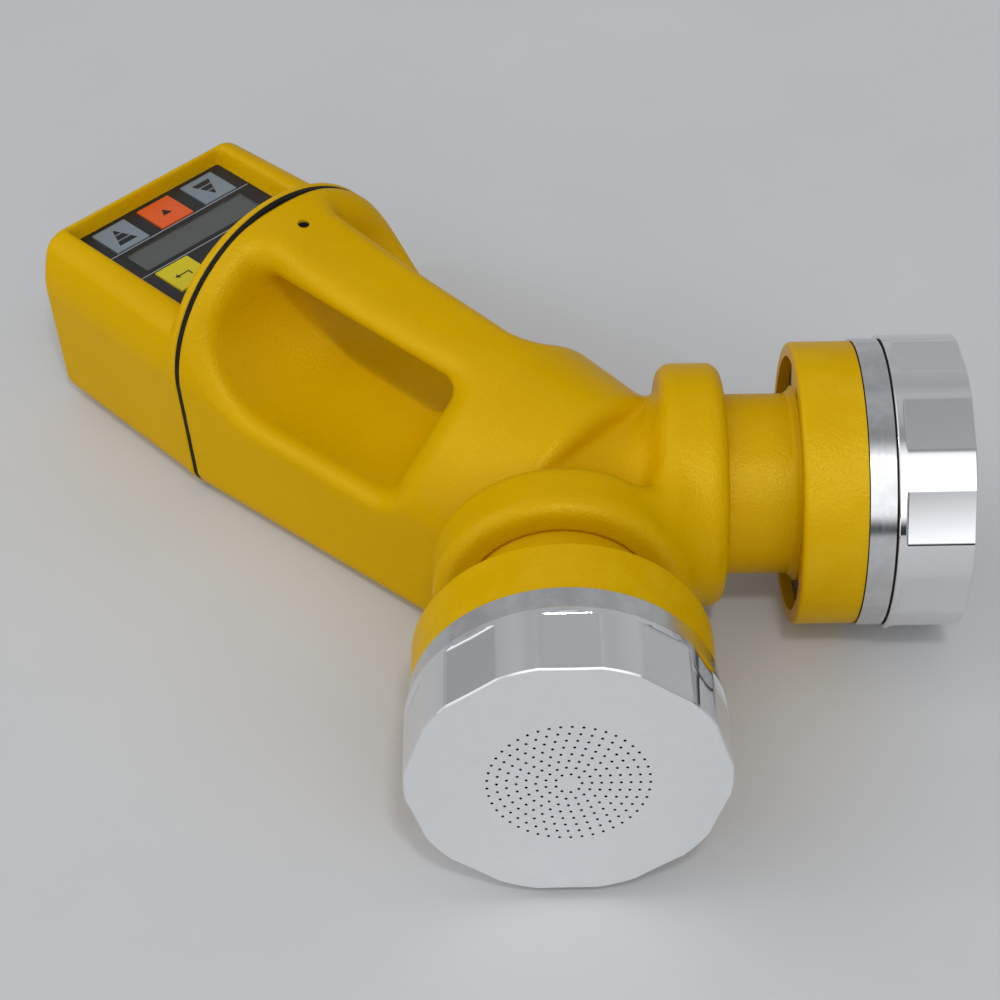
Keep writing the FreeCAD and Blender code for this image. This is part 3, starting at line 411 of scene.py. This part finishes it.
def finish(piece, material):
    """Give every face of a piece or of a CAD node that material."""
    piece.data.materials.clear()
    piece.data.materials.append(material)
    piece.data.polygons.foreach_set("material_index", [0] * len(piece.data.polygons))


PAINT = yellow_paint()
finish(front_casing, PAINT)
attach(front_casing, "casing")
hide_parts("front_body")


# ---------------------------------------------------------------- rear housing
# The rear housing is a second yellow moulding, screwed on behind the gasket.  It has a narrow
# flange band, and behind that a flat deck with round shoulders and a sunken tray for the keypad.

KEYS = {"down_key": (-22.4, 210.1), "start_key": (0.0, 210.1), "up_key": (22.4, 210.1),
        "enter_key": (-21.0, 173.9)}
REAR_START, FLANGE_END, REAR_END, REAR_TAPER = 142.0, 146.0, 224.0, 0.039
REAR_WALL, REAR_EDGE = 3.2, 2.5
DECK_TOP, TRAY_FLOOR = 23.0, 15.0
WINDOW_HALF, WINDOW_ALONG, WINDOW_HALF_ALONG = 30.0, 192.3, 7.3
GUIDE_RADIUS, INLET_RADIUS, INLET_DROP = 2.6, 5.6, 18.0
THROUGH_TRAY = 8.0


def rear_housing_field(x, y, z):
    """The hollow rear shell with its flange band, deck, tray, window and inlet hole."""
    outer = casing_section(x, z, CASING_RADIUS - REAR_TAPER * (y - REAR_START))
    deck = round_cut(round_cut(outer, z - DECK_TOP, 6.0), y - REAR_END, REAR_EDGE)
    outer = round_cut(outer, y - REAR_END, REAR_EDGE)
    flange = round_cut(outer, y - FLANGE_END, 1.2)
    body = round_join(deck, flange, 1.2)
    body = round_cut(body, REAR_START - y, 0.7)
    rise = z - TRAY_FLOOR
    sides = round_cut(np.abs(x) - 36.5 - 0.34 * rise,
                      np.maximum(149.9 - 0.12 * rise - y, y - 220.6 - 0.16 * rise), 2.0)
    tray = np.maximum(sides, -rise)
    body = round_cut(body, -tray, 1.8)
    window = np.maximum(np.abs(x) - WINDOW_HALF, np.abs(y - WINDOW_ALONG) - WINDOW_HALF_ALONG)
    body = np.maximum(body, -np.maximum(window, THROUGH_TRAY - z))
    cavity = np.maximum(np.maximum(outer + REAR_WALL, z - 12.4), y - 220.0)
    body = np.maximum(body, -cavity)
    for across, place in KEYS.values():
        guide = np.maximum(np.hypot(x - across, y - place) - GUIDE_RADIUS, THROUGH_TRAY - z)
        body = np.maximum(body, -guide)
    inlet = np.maximum(np.hypot(x, z + INLET_DROP) - INLET_RADIUS, 215.0 - y)
    return np.maximum(body, -inlet)


rear_casing = moulded("rear_casing", (-58, 139, -58), (58, 227, 58), 1.0, rear_housing_field,
                      "rear_housing")
finish(rear_casing, PAINT)
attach(rear_casing, "casing")
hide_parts("rear_housing")


# ---------------------------------------------------------------- gasket, seals and feet
# Black nitrile rubber: the gasket between the casings, a seal ring behind each plate holder and
# each cap, and four feet pressed into the rear face.

def rubber(name, colour, scale):
    """Matt black rubber with a dusty bloom and a fine moulded grain."""
    material, make, surface = new_material(name)
    wear = placed_group(make, WEAR, Size=120.0, Amount=1.0)
    bloom = make.maths("ADD", make.maths("MULTIPLY", wear["Grime"], 0.35),
                       make.maths("MULTIPLY", wear["Edges"], 0.35), clamp=True)
    make.link(make.mixed(bloom, colour + (1,), (0.022, 0.022, 0.021, 1)), surface["Base Color"])
    grain = make.noise(make.place(), scale, 3.0, 0.6)
    make.link(make.span(grain, 0.3, 0.7, 0.62, 0.8), surface["Roughness"])
    surface["Specular IOR Level"].default_value = 0.2
    make.link(make.bump(grain, 0.00008, 0.6), surface["Normal"])
    return material


RUBBER = rubber("black_rubber", (0.005, 0.005, 0.0055), 900.0)
for node in ("housing_gasket", "rear_feet", "left_ring_seal", "right_ring_seal",
             "left_cap_seal", "right_cap_seal"):
    finish(NODES[node], RUBBER)


# ---------------------------------------------------------------- keypad
# A black satin membrane sheet is stuck into the tray, with two thin printed lines across it.
# Four printed key caps stand in its openings, each with its own colour and arrow.

def printed_sheet(name, colour, worn, rough):
    """Satin printed plastic film, with fine grain and a little wear."""
    material, make, surface = new_material(name)
    wear = placed_group(make, WEAR, Size=160.0, Amount=0.8)
    shade = make.span(make.noise(make.place(), 240.0, 4.0, 0.6), 0.3, 0.7)
    base = make.mixed(make.maths("MULTIPLY", shade, 0.16), colour + (1,), worn + (1,))
    make.link(make.mixed(make.maths("MULTIPLY", wear["Grime"], 0.2), base, (0.16, 0.15, 0.13, 1)),
              surface["Base Color"])
    grain = make.noise(make.place(), 2200.0, 2.0, 0.5)
    make.link(make.span(grain, 0.3, 0.7, rough - 0.05, rough + 0.07), surface["Roughness"])
    surface["Specular IOR Level"].default_value = 0.3
    make.link(make.bump(grain, 0.00003, 0.5), surface["Normal"])
    return material


OVERLAY = printed_sheet("keypad_black_film", (0.013, 0.013, 0.015), (0.03, 0.03, 0.035), 0.33)
finish(NODES["keypad_overlay"], OVERLAY)
KEY_FILMS = {
    "start_key": printed_sheet("start_key_orange_film", (0.79, 0.105, 0.012), (0.9, 0.16, 0.03), 0.3),
    "enter_key": printed_sheet("enter_key_yellow_film", (0.68, 0.56, 0.0), (0.76, 0.64, 0.03), 0.3),
    "up_key": printed_sheet("arrow_key_grey_film", (0.21, 0.25, 0.29), (0.27, 0.31, 0.35), 0.3),
}
KEY_FILMS["down_key"] = KEY_FILMS["up_key"]
for key, film in KEY_FILMS.items():
    finish(NODES[key], film)
# Black ink for the key marks; the same material paints the shadow band round the display pane.
DARK_INK_AND_SHADOW = printed_sheet("black_ink_and_edge_shadow", (0.01, 0.01, 0.012), (0.02, 0.02, 0.02), 0.35)
PALE_INK = printed_sheet("pale_grey_ink", (0.42, 0.44, 0.45), (0.5, 0.52, 0.53), 0.35)


SHEET_TOP, KEY_TOP, INK_THICK = 16.0, 16.5, 0.06


def flat_marks(name, body, material, outlines, height):
    """Thin flat shapes, each a convex outline of (across, along) corners in mm: print, and the painted
    shadow round the display pane.
    """
    points = []
    faces = []
    for corners in outlines:
        count = len(corners)
        base = len(points)
        for level in (height, height + INK_THICK):
            points += [Vector((x, y, level)) * MM + CROSSING for x, y in corners]
        faces.append([base + n for n in reversed(range(count))])
        faces.append([base + count + n for n in range(count)])
        for n in range(count):
            after = (n + 1) % count
            faces.append([base + n, base + after, base + count + after, base + count + n])
    piece = new_piece(name, points, faces, smooth=False)
    finish(piece, material)
    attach(piece, body)


def strip(left, right, low, high):
    """A rectangle as an outline, counterclockwise."""
    return [(left, low), (right, low), (right, high), (left, high)]


LINE_HALF, LINE_WIDTH = 35.5, 0.35
flat_marks("keypad_lines", "casing", PALE_INK,
        [strip(-LINE_HALF, LINE_HALF, along, along + LINE_WIDTH) for along in (201.25, 183.0)],
        SHEET_TOP)


def sliced_arrow(across, along, ahead):
    """A triangle cut into three slices, its tip towards +Y when ahead is 1 and -Y when it is -1."""
    length, slope = 10.2, 0.42
    slices = []
    for start, end in ((0.0, 2.6), (3.3, 6.0), (6.7, 9.4)):
        wide, narrow = slope * (length - start), slope * (length - end)
        corners = [(across - wide, start), (across + wide, start),
                   (across + narrow, end), (across - narrow, end)]
        slices.append([(x, along + ahead * (y - 4.9)) for x, y in corners][::ahead])
    return slices


for key, ahead in (("down_key", 1), ("up_key", -1)):
    across, along = KEYS[key]
    flat_marks(f"{key}_arrow", key, DARK_INK_AND_SHADOW, sliced_arrow(across, along, ahead), KEY_TOP)
across, along = KEYS["start_key"]
flat_marks("start_key_mark", "start_key", DARK_INK_AND_SHADOW,
        [[(across - 2.2, along - 1.8), (across + 2.2, along - 1.8), (across, along + 1.9)]], KEY_TOP)
across, along = KEYS["enter_key"]
flat_marks("enter_key_mark", "enter_key", DARK_INK_AND_SHADOW,
        [strip(across - 2.6, across + 2.4, along - 0.3, along + 0.3),
         strip(across + 1.8, across + 2.4, along - 2.4, along - 0.3),
         [(across - 2.6, along + 1.3), (across - 4.4, along), (across - 2.6, along - 1.3)]], KEY_TOP)


# ---------------------------------------------------------------- display
# A grey-green liquid-crystal panel, soldered to the control board and blank while the sampler is
# off.  A clear acrylic pane is glued over it; the thin black band round it is painted shadow
# along the pane's edge.

def display_panel():
    """Grey-green liquid crystal with its faint cell rows."""
    material, make, surface = new_material("display_panel")
    where = make.place()
    wave = make.node("ShaderNodeTexWave", wave_type="BANDS", bands_direction="Y")
    make.link(where, wave.inputs["Vector"])
    wave.inputs["Scale"].default_value = 160.0
    rows = make.span(wave.outputs["Fac"], 0.2, 0.5)
    base = make.mixed(rows, (0.088, 0.098, 0.085, 1), (0.102, 0.114, 0.098, 1))
    shade = make.noise(where, 60.0, 3.0)
    make.link(make.mixed(make.maths("MULTIPLY", shade, 0.3), base, (0.076, 0.084, 0.074, 1)),
              surface["Base Color"])
    surface["Roughness"].default_value = 0.42
    make.link(make.bump(rows, 0.00002, 0.4), surface["Normal"])
    return material


def clear_pane():
    """Clear acrylic with faint handling smears."""
    material, make, surface = new_material("clear_pane")
    smear = make.noise(make.place(), 90.0, 5.0, 0.6)
    surface["Base Color"].default_value = (0.93, 0.95, 0.93, 1)
    surface["Transmission Weight"].default_value = 1.0
    surface["IOR"].default_value = 1.49
    make.link(make.span(smear, 0.4, 0.7, 0.02, 0.1), surface["Roughness"])
    return material


# The black band round the pane is painted shadow: dark ink strips standing in for the shade along the
# pane's edge.
SHADOW_OUTER, SHADOW_INNER, SHADOW_WIDTH = 31.0, 29.4, 1.6
SHADOW_LOW, SHADOW_HIGH = 184.0, 200.6
flat_marks("display_edge_shadow", "casing", DARK_INK_AND_SHADOW,
        [strip(-SHADOW_OUTER, -SHADOW_INNER, SHADOW_LOW, SHADOW_HIGH),
         strip(SHADOW_INNER, SHADOW_OUTER, SHADOW_LOW, SHADOW_HIGH),
         strip(-SHADOW_INNER, SHADOW_INNER, SHADOW_LOW, SHADOW_LOW + SHADOW_WIDTH),
         strip(-SHADOW_INNER, SHADOW_INNER, SHADOW_HIGH - SHADOW_WIDTH, SHADOW_HIGH)], SHEET_TOP)
finish(NODES["display_module"], display_panel())
finish(NODES["display_window_pane"], clear_pane())


# ---------------------------------------------------------------- sampling heads
# Each head is a yellow turned and painted shell with a vented back, a satin steel plate holder,
# and a stainless cap: polished scalloped side, satin perforated front.

def head_turn(side):
    """The turn from a head's own axes (across, up, outwards) to the object's."""
    outwards = HEADS[side]
    upwards = Vector((0, 0, 1))
    return Matrix((upwards.cross(outwards), upwards, outwards)).transposed()


def head_place(make, side):
    """Object coordinates turned into distance from a head's axis and distance along it."""
    mapping = make.node("ShaderNodeMapping", vector_type="TEXTURE")
    mapping.inputs["Location"].default_value = CROSSING
    mapping.inputs["Rotation"].default_value = head_turn(side).to_euler()
    make.link(make.place(), mapping.inputs["Vector"])
    parts = make.node("ShaderNodeSeparateXYZ")
    make.link(mapping.outputs["Vector"], parts.inputs["Vector"])
    squares = [make.maths("POWER", make.maths("ABSOLUTE", parts.outputs[n]), 2.0) for n in (0, 1)]
    off = make.maths("SQRT", make.maths("ADD", *squares))
    turned = make.node("ShaderNodeCombineXYZ")
    make.link(off, turned.inputs["X"])
    make.link(parts.outputs["Z"], turned.inputs["Z"])
    return turned.outputs["Vector"]


def steel(name, colour, rough, lines, depth, side=None):
    """Stainless steel with fine turning lines round a head's axis, light stains and bright edges."""
    material, make, surface = new_material(name)
    wear = placed_group(make, WEAR, Size=200.0, Amount=0.5)
    where = make.place()
    turned = head_place(make, side) if side else where
    marks = make.noise(turned, lines, 4.0, 0.7)
    stains = make.span(make.noise(where, 38.0, 5.0, 0.6), 0.5, 0.8)
    base = make.mixed(make.maths("MULTIPLY", stains, 0.1), colour + (1,),
                      tuple(0.85 * part for part in colour) + (1,))
    make.link(make.mixed(make.maths("MULTIPLY", wear["Edges"], 0.5), base, (0.85, 0.85, 0.86, 1)),
              surface["Base Color"])
    surface["Metallic"].default_value = 1.0
    rough_marks = make.span(marks, 0.3, 0.7, rough * 0.8, rough * 1.2)
    make.link(make.maths("ADD", rough_marks, make.maths("MULTIPLY", stains, rough * 0.1)),
              surface["Roughness"])
    make.link(make.bump(marks, depth, 1.0), surface["Normal"])
    return material


FLUTES = 10
FLUTE_CENTRE = {"left": 0.0, "right": 9.3}
CAP_RADIUS, CAP_BACK, CAP_FRONT = 52.0, 113.9, 140.1
FLUTE_RADIUS, FLUTE_DEPTH, FLUTE_END = 400.0, 1.0, 116.2
PLATE_RADIUS, PLATE_THICK, CAP_BORE = 30.0, 3.0, 46.05
RUNOUT, RUNOUT_STEPS, FLUTE_STEPS, LAND_STEPS = 1.0, 12, 29, 11
JET_RINGS = (9, 15, 20, 25, 30, 35, 40, 45)


def perforated_plate():
    """Geometry nodes for the middle of a cap: a disc with rings of small round holes."""
    tree = bpy.data.node_groups.new("perforated_plate", "GeometryNodeTree")
    sizes = {"Radius": PLATE_RADIUS * MM, "Thickness": PLATE_THICK * MM, "Hole Radius": 0.0005,
             "First Ring": 0.0042, "Ring Step": 0.00307}
    for label, value in sizes.items():
        socket = tree.interface.new_socket(label, in_out="INPUT", socket_type="NodeSocketFloat")
        socket.default_value = value
    tree.interface.new_socket("Steel", in_out="INPUT", socket_type="NodeSocketMaterial")
    tree.interface.new_socket("Plate", in_out="OUTPUT", socket_type="NodeSocketGeometry")
    make = Nodes(tree)
    given = make.node("NodeGroupInput").outputs
    hole = make.node("GeometryNodeCurvePrimitiveCircle")
    hole.inputs["Resolution"].default_value = 14
    make.link(given["Hole Radius"], hole.inputs["Radius"])
    rim = make.node("GeometryNodeCurvePrimitiveCircle")
    rim.inputs["Resolution"].default_value = 180
    make.link(given["Radius"], rim.inputs["Radius"])
    joined = make.node("GeometryNodeJoinGeometry")
    make.link(rim.outputs["Curve"], joined.inputs[0])
    for number, count in enumerate(JET_RINGS):
        ring = make.node("GeometryNodeCurvePrimitiveCircle")
        ring.inputs["Resolution"].default_value = count
        radius = make.maths("MULTIPLY_ADD", given["Ring Step"], float(number), given["First Ring"])
        make.link(radius, ring.inputs["Radius"])
        holes = make.node("GeometryNodeInstanceOnPoints")
        make.link(ring.outputs["Curve"], holes.inputs["Points"])
        make.link(hole.outputs["Curve"], holes.inputs["Instance"])
        real = make.node("GeometryNodeRealizeInstances")
        make.link(holes.outputs["Instances"], real.inputs[0])
        make.link(real.outputs[0], joined.inputs[0])
    fill = make.node("GeometryNodeFillCurve")
    make.link(joined.outputs[0], fill.inputs["Curve"])
    raised = make.node("GeometryNodeExtrudeMesh")
    raised.inputs["Individual"].default_value = False
    make.link(fill.outputs["Mesh"], raised.inputs["Mesh"])
    make.link(given["Thickness"], raised.inputs["Offset Scale"])
    under = make.node("GeometryNodeFlipFaces")
    make.link(fill.outputs["Mesh"], under.inputs["Mesh"])
    whole = make.node("GeometryNodeJoinGeometry")
    make.link(raised.outputs["Mesh"], whole.inputs[0])
    make.link(under.outputs["Mesh"], whole.inputs[0])
    welded = make.node("GeometryNodeMergeByDistance")
    make.link(whole.outputs[0], welded.inputs["Geometry"])
    welded.inputs["Distance"].default_value = 0.00002
    real = make.node("GeometryNodeRealizeInstances")
    make.link(welded.outputs["Geometry"], real.inputs[0])
    coloured = make.node("GeometryNodeSetMaterial")
    make.link(real.outputs[0], coloured.inputs["Geometry"])
    make.link(given["Steel"], coloured.inputs["Material"])
    wanted = make.node("NodeGroupOutput")
    make.link(coloured.outputs["Geometry"], wanted.inputs["Plate"])
    return tree


def flute_cut(angle):
    """How deep a flute is at an angle in degrees from its middle."""
    reach = CAP_RADIUS - FLUTE_DEPTH + FLUTE_RADIUS
    spread = math.radians(angle)
    inner = FLUTE_RADIUS ** 2 - (reach * math.sin(spread)) ** 2
    if inner <= 0:
        return 0.0
    return max(CAP_RADIUS - reach * math.cos(spread) + math.sqrt(inner), 0.0)


def cap_ring(side):
    """A cap's fluted side, front rim and bore as one closed turned shape, in head axes."""
    pitch = 360.0 / FLUTES
    reach = CAP_RADIUS - FLUTE_DEPTH + FLUTE_RADIUS
    edge = math.degrees(math.acos((CAP_RADIUS ** 2 + reach ** 2 - FLUTE_RADIUS ** 2)
                                  / (2 * CAP_RADIUS * reach)))
    land = list(np.linspace(edge, pitch - edge, LAND_STEPS))[1:-1]
    angles = list(np.linspace(-edge, edge, FLUTE_STEPS)) + land
    rows = [(CAP_BACK, 0.4, None), (CAP_BACK + 0.15, 0.12, None), (CAP_BACK + 0.4, 0.0, None)]
    for step in range(RUNOUT_STEPS + 1):
        bend = math.radians(90 - 90 / RUNOUT_STEPS * step)
        rows.append((FLUTE_END + RUNOUT * (1 - math.sin(bend)), 0.0, RUNOUT * (1 - math.cos(bend))))
    rows += [(CAP_FRONT - 0.5, 0.0, 0.0), (CAP_FRONT, 0.5, 0.0)]
    points = []
    for along, bevel, lift in rows:
        for flute in range(FLUTES):
            for angle in angles:
                depth = 0.0 if lift is None else max(flute_cut(angle) - lift, 0.0)
                turn = math.radians(FLUTE_CENTRE[side] + pitch * flute + angle)
                radius = CAP_RADIUS - depth - bevel
                points.append((radius * math.sin(turn), radius * math.cos(turn), along))
    count = FLUTES * len(angles)
    for radius, along in ((PLATE_RADIUS, CAP_FRONT), (PLATE_RADIUS, CAP_FRONT - PLATE_THICK),
                          (CAP_BORE, CAP_FRONT - PLATE_THICK), (CAP_BORE, CAP_BACK)):
        for x, y, _ in points[:count]:
            scale = radius / math.hypot(x, y)
            points.append((x * scale, y * scale, along))
    faces = []
    levels = len(points) // count
    for level in range(levels):
        first, second = level * count, (level + 1) % levels * count
        for n in range(count):
            after = (n + 1) % count
            faces.append((first + n, second + n, second + after, first + after))
    return points, faces


def outward(piece):
    """Merge doubled points and turn every face outwards."""
    work = bmesh.new()
    work.from_mesh(piece.data)
    bmesh.ops.remove_doubles(work, verts=work.verts, dist=1e-7)
    bmesh.ops.recalc_face_normals(work, faces=work.faces)
    work.to_mesh(piece.data)
    work.free()


def joined(name, *pieces):
    """Several mesh objects as one."""
    work = bmesh.new()
    for piece in pieces:
        work.from_mesh(piece.data)
        bpy.data.objects.remove(piece)
    mesh = bpy.data.meshes.new(name)
    work.to_mesh(mesh)
    work.free()
    whole = bpy.data.objects.new(name, mesh)
    bpy.context.scene.collection.objects.link(whole)
    return whole


PLATE_TREE = perforated_plate()


def make_cap(side):
    """One cap: polished fluted side, and a satin front face with its inlet holes."""
    polished = steel(f"{side}_cap_polish", (0.80, 0.80, 0.81), 0.05, 420.0, 0.000001, side)
    satin = steel(f"{side}_cap_satin", (0.90, 0.905, 0.91), 0.32, 5200.0, 0.000004, side)
    ring = new_piece("cap_ring", *cap_ring(side))
    disc = bpy.data.objects.new("cap_disc", bpy.data.meshes.new("cap_disc"))
    bpy.context.scene.collection.objects.link(disc)
    nodes = disc.modifiers.new("plate", "NODES")
    nodes.node_group = PLATE_TREE
    for socket in PLATE_TREE.interface.items_tree:
        if socket.name == "Steel":
            nodes[socket.identifier] = satin
    settle(disc)
    disc.data.transform(Matrix.Translation((0, 0, (CAP_FRONT - PLATE_THICK) * MM)))
    ring.data.transform(Matrix.Scale(MM, 4))
    outward(ring)
    outward(disc)
    cap = joined(f"{side}_cap_turned", ring, disc)
    cap.data.materials.append(polished)
    cap.data.materials.append(satin)
    for face in cap.data.polygons:
        face.material_index = int(face.normal.z > 0.99)
        face.use_smooth = True
    cap.data.set_sharp_from_angle(angle=math.radians(13))
    cap.data.transform(Matrix.Translation(CROSSING) @ head_turn(side).to_4x4())
    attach(cap, f"{side}_cap")
    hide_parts(f"{side}_cap")


def woven_mesh():
    """Dark woven wire, as the screen behind the vents is."""
    material, make, surface = new_material("woven_mesh")
    cells = make.node("ShaderNodeTexVoronoi", feature="DISTANCE_TO_EDGE")
    make.link(make.place(), cells.inputs["Vector"])
    cells.inputs["Scale"].default_value = 1100.0
    wires = make.span(cells.outputs["Distance"], 0.12, 0.3, 1.0, 0.0)
    make.link(make.mixed(wires, (0.004, 0.004, 0.004, 1), (0.20, 0.20, 0.20, 1)), surface["Base Color"])
    make.link(make.span(wires, 0.0, 1.0, 0.9, 0.35), surface["Roughness"])
    surface["Metallic"].default_value = 0.8
    make.link(make.bump(wires, 0.0003, 0.8), surface["Normal"])
    return material


SCREEN = woven_mesh()
for side in HEADS:
    finish(NODES[f"{side}_vent_screen"], SCREEN)
    finish(NODES[f"{side}_head_shell"], PAINT)
    holder = steel(f"{side}_holder_satin", (0.60, 0.605, 0.61), 0.16, 2200.0, 0.000022, side)
    finish(NODES[f"{side}_plate_holder"], holder)
    finish(NODES[f"{side}_plate_clips"], holder)
    make_cap(side)


# ---------------------------------------------------------------- inside and fittings
# Zinc-plated motors and screws on machined aluminium plates, moulded black impellers, switches
# and inlet, a green circuit board and a wrapped battery, all screwed or clipped into the casings.
# A brass tripod bush is pressed into the base.

ZINC = steel("zinc_plate", (0.5, 0.5, 0.49), 0.32, 2600.0, 0.000004)
BRASS = steel("turned_brass", (0.62, 0.42, 0.16), 0.28, 2600.0, 0.000004)
ALUMINIUM = steel("machined_aluminium", (0.62, 0.63, 0.64), 0.3, 2600.0, 0.000004)
# Black moulded plastic for the switches, inlet and impellers; also used as painted shade in the handle's
# screw hole.
BLACK_PLASTIC_AND_SHADE = printed_sheet("black_plastic_and_hole_shade", (0.018, 0.018, 0.02), (0.035, 0.035, 0.04), 0.45)
BOARD = printed_sheet("green_board", (0.01, 0.085, 0.035), (0.02, 0.13, 0.05), 0.4)
WRAP = printed_sheet("battery_wrap", (0.03, 0.05, 0.16), (0.05, 0.08, 0.22), 0.4)
finish(NODES["control_board"], BOARD)
finish(NODES["battery_pack"], WRAP)
finish(NODES["tripod_bush"], BRASS)
for node in ("key_switches", "charging_inlet", "left_impeller", "right_impeller"):
    finish(NODES[node], BLACK_PLASTIC_AND_SHADE)
for node in ("board_screws", "base_screws"):
    finish(NODES[node], ZINC)
# The handle screw is finished black and a black tube lines its hole: painted shade, so that the deep
# screw hole reads dark.
finish(NODES["handle_screw"], BLACK_PLASTIC_AND_SHADE)
hole_shade_liner = ring_piece("handle_hole_shade_liner", 1.75, HANDLE_HOLE, 47.6, 51.0, (0, SCREW_ALONG))
finish(hole_shade_liner, BLACK_PLASTIC_AND_SHADE)
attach(hole_shade_liner, "casing")
for side in HEADS:
    finish(NODES[f"{side}_motor_plate"], ALUMINIUM)
    for part in ("motor", "motor_shaft", "motor_screws"):
        finish(NODES[f"{side}_{part}"], ZINC)


# ---------------------------------------------------------------- floor, light and camera
# A pale matt laminate table in a pale room, with two small soft lamps overhead.  The viewer
# looks down on it from in front and to the left.

def table_top():
    """Pale matt laminate with a faint mottle."""
    material, make, surface = new_material("pale_table")
    mottle = make.span(make.noise(make.place(), 7.0, 5.0, 0.55), 0.3, 0.7)
    make.link(make.mixed(mottle, (0.60, 0.605, 0.615, 1), (0.63, 0.635, 0.645, 1)),
              surface["Base Color"])
    surface["Roughness"].default_value = 0.55
    grain = make.noise(make.place(), 420.0, 3.0)
    make.link(make.bump(grain, 0.00004, 0.4), surface["Normal"])
    return material


low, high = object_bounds()
reach = 4.0
floor = new_piece("floor", [(-reach, -reach, low[2]), (reach, -reach, low[2]),
                            (reach, reach, low[2]), (-reach, reach, low[2])], [(0, 1, 2, 3)])
finish(floor, table_top())


def soft_light(name, place, aim, size, power):
    """A square soft light at a place, turned towards another."""
    lamp = bpy.data.lights.new(name, "AREA")
    lamp.shape = "RECTANGLE"
    lamp.size, lamp.size_y = size, size
    lamp.energy = power
    item = bpy.data.objects.new(name, lamp)
    item.location = place
    item.rotation_euler = (Vector(aim) - Vector(place)).to_track_quat("-Z", "Y").to_euler()
    bpy.context.scene.collection.objects.link(item)


LAMP_SIZE = 0.13
soft_light("near_lamp", (-0.70, -0.91, 1.62), (0, -0.03, 0.05), LAMP_SIZE, 6.0)
soft_light("side_lamp", (-1.25, 1.05, 1.25), (0, 0, 0.05), LAMP_SIZE, 1.6)


def pale_room():
    """The light of a pale room: windows behind the viewer and to the left, darker low down behind."""
    world = bpy.data.worlds.new("pale_room")
    world.use_nodes = True
    make = Nodes(world.node_tree)
    direction = make.node("ShaderNodeTexCoord").outputs["Generated"]

    def towards(centre, low, high, most):
        dot = make.node("ShaderNodeVectorMath", operation="DOT_PRODUCT")
        make.link(direction, dot.inputs[0])
        dot.inputs[1].default_value = centre
        return make.span(dot.outputs["Value"], low, high, 0.0, most)

    windows = make.maths("ADD", towards((-0.49, -0.65, 0.58), 0.80, 0.94, 1.1),
                         towards((-0.74, 0.46, 0.49), 0.62, 0.95, 0.7))
    walls = make.maths("ADD", windows, towards((0.62, 0.55, 0.56), 0.3, 0.9, 0.11))
    patches = make.span(make.noise(direction, 2.6, 2.0, 0.5), 0.35, 0.65, 0.31, 0.43)
    bright = make.maths("ADD", walls, patches)
    behind = make.maths("MULTIPLY", towards((-0.65, -0.76, 0.0), 0.35, 0.8, 1.0),
                        towards((0.0, 0.0, -1.0), -0.24, -0.10, 0.93))
    shade = make.maths("MULTIPLY", bright, make.maths("SUBTRACT", 1.0, behind))
    sky = world.node_tree.nodes["Background"]
    make.link(make.mixed(1.0, (0.95, 0.975, 1.0, 1), shade, "MULTIPLY"), sky.inputs["Color"])
    return world


bpy.context.scene.world = pale_room()
bpy.context.scene.view_settings.view_transform = "Standard"

camera = bpy.data.cameras.new("camera")
camera.sensor_width = 36.0
camera.lens = 91.6
camera.clip_start = 0.01
viewer = bpy.data.objects.new("camera", camera)
heading, height, roll = (math.radians(angle) for angle in (-45.40, 41.76, -0.72))
back = Vector((math.sin(heading) * math.cos(height), -math.cos(heading) * math.cos(height),
               math.sin(height)))
right = Vector((math.cos(heading), math.sin(heading), 0))
up = back.cross(right)
right, up = (math.cos(roll) * right + math.sin(roll) * up,
             math.cos(roll) * up - math.sin(roll) * right)
turn = Matrix((right, up, back)).transposed().to_4x4()
viewer.matrix_world = Matrix.Translation(CROSSING + Vector((-0.4941, -0.4600, 0.5966))) @ turn
bpy.context.scene.collection.objects.link(viewer)
bpy.context.scene.camera = viewer
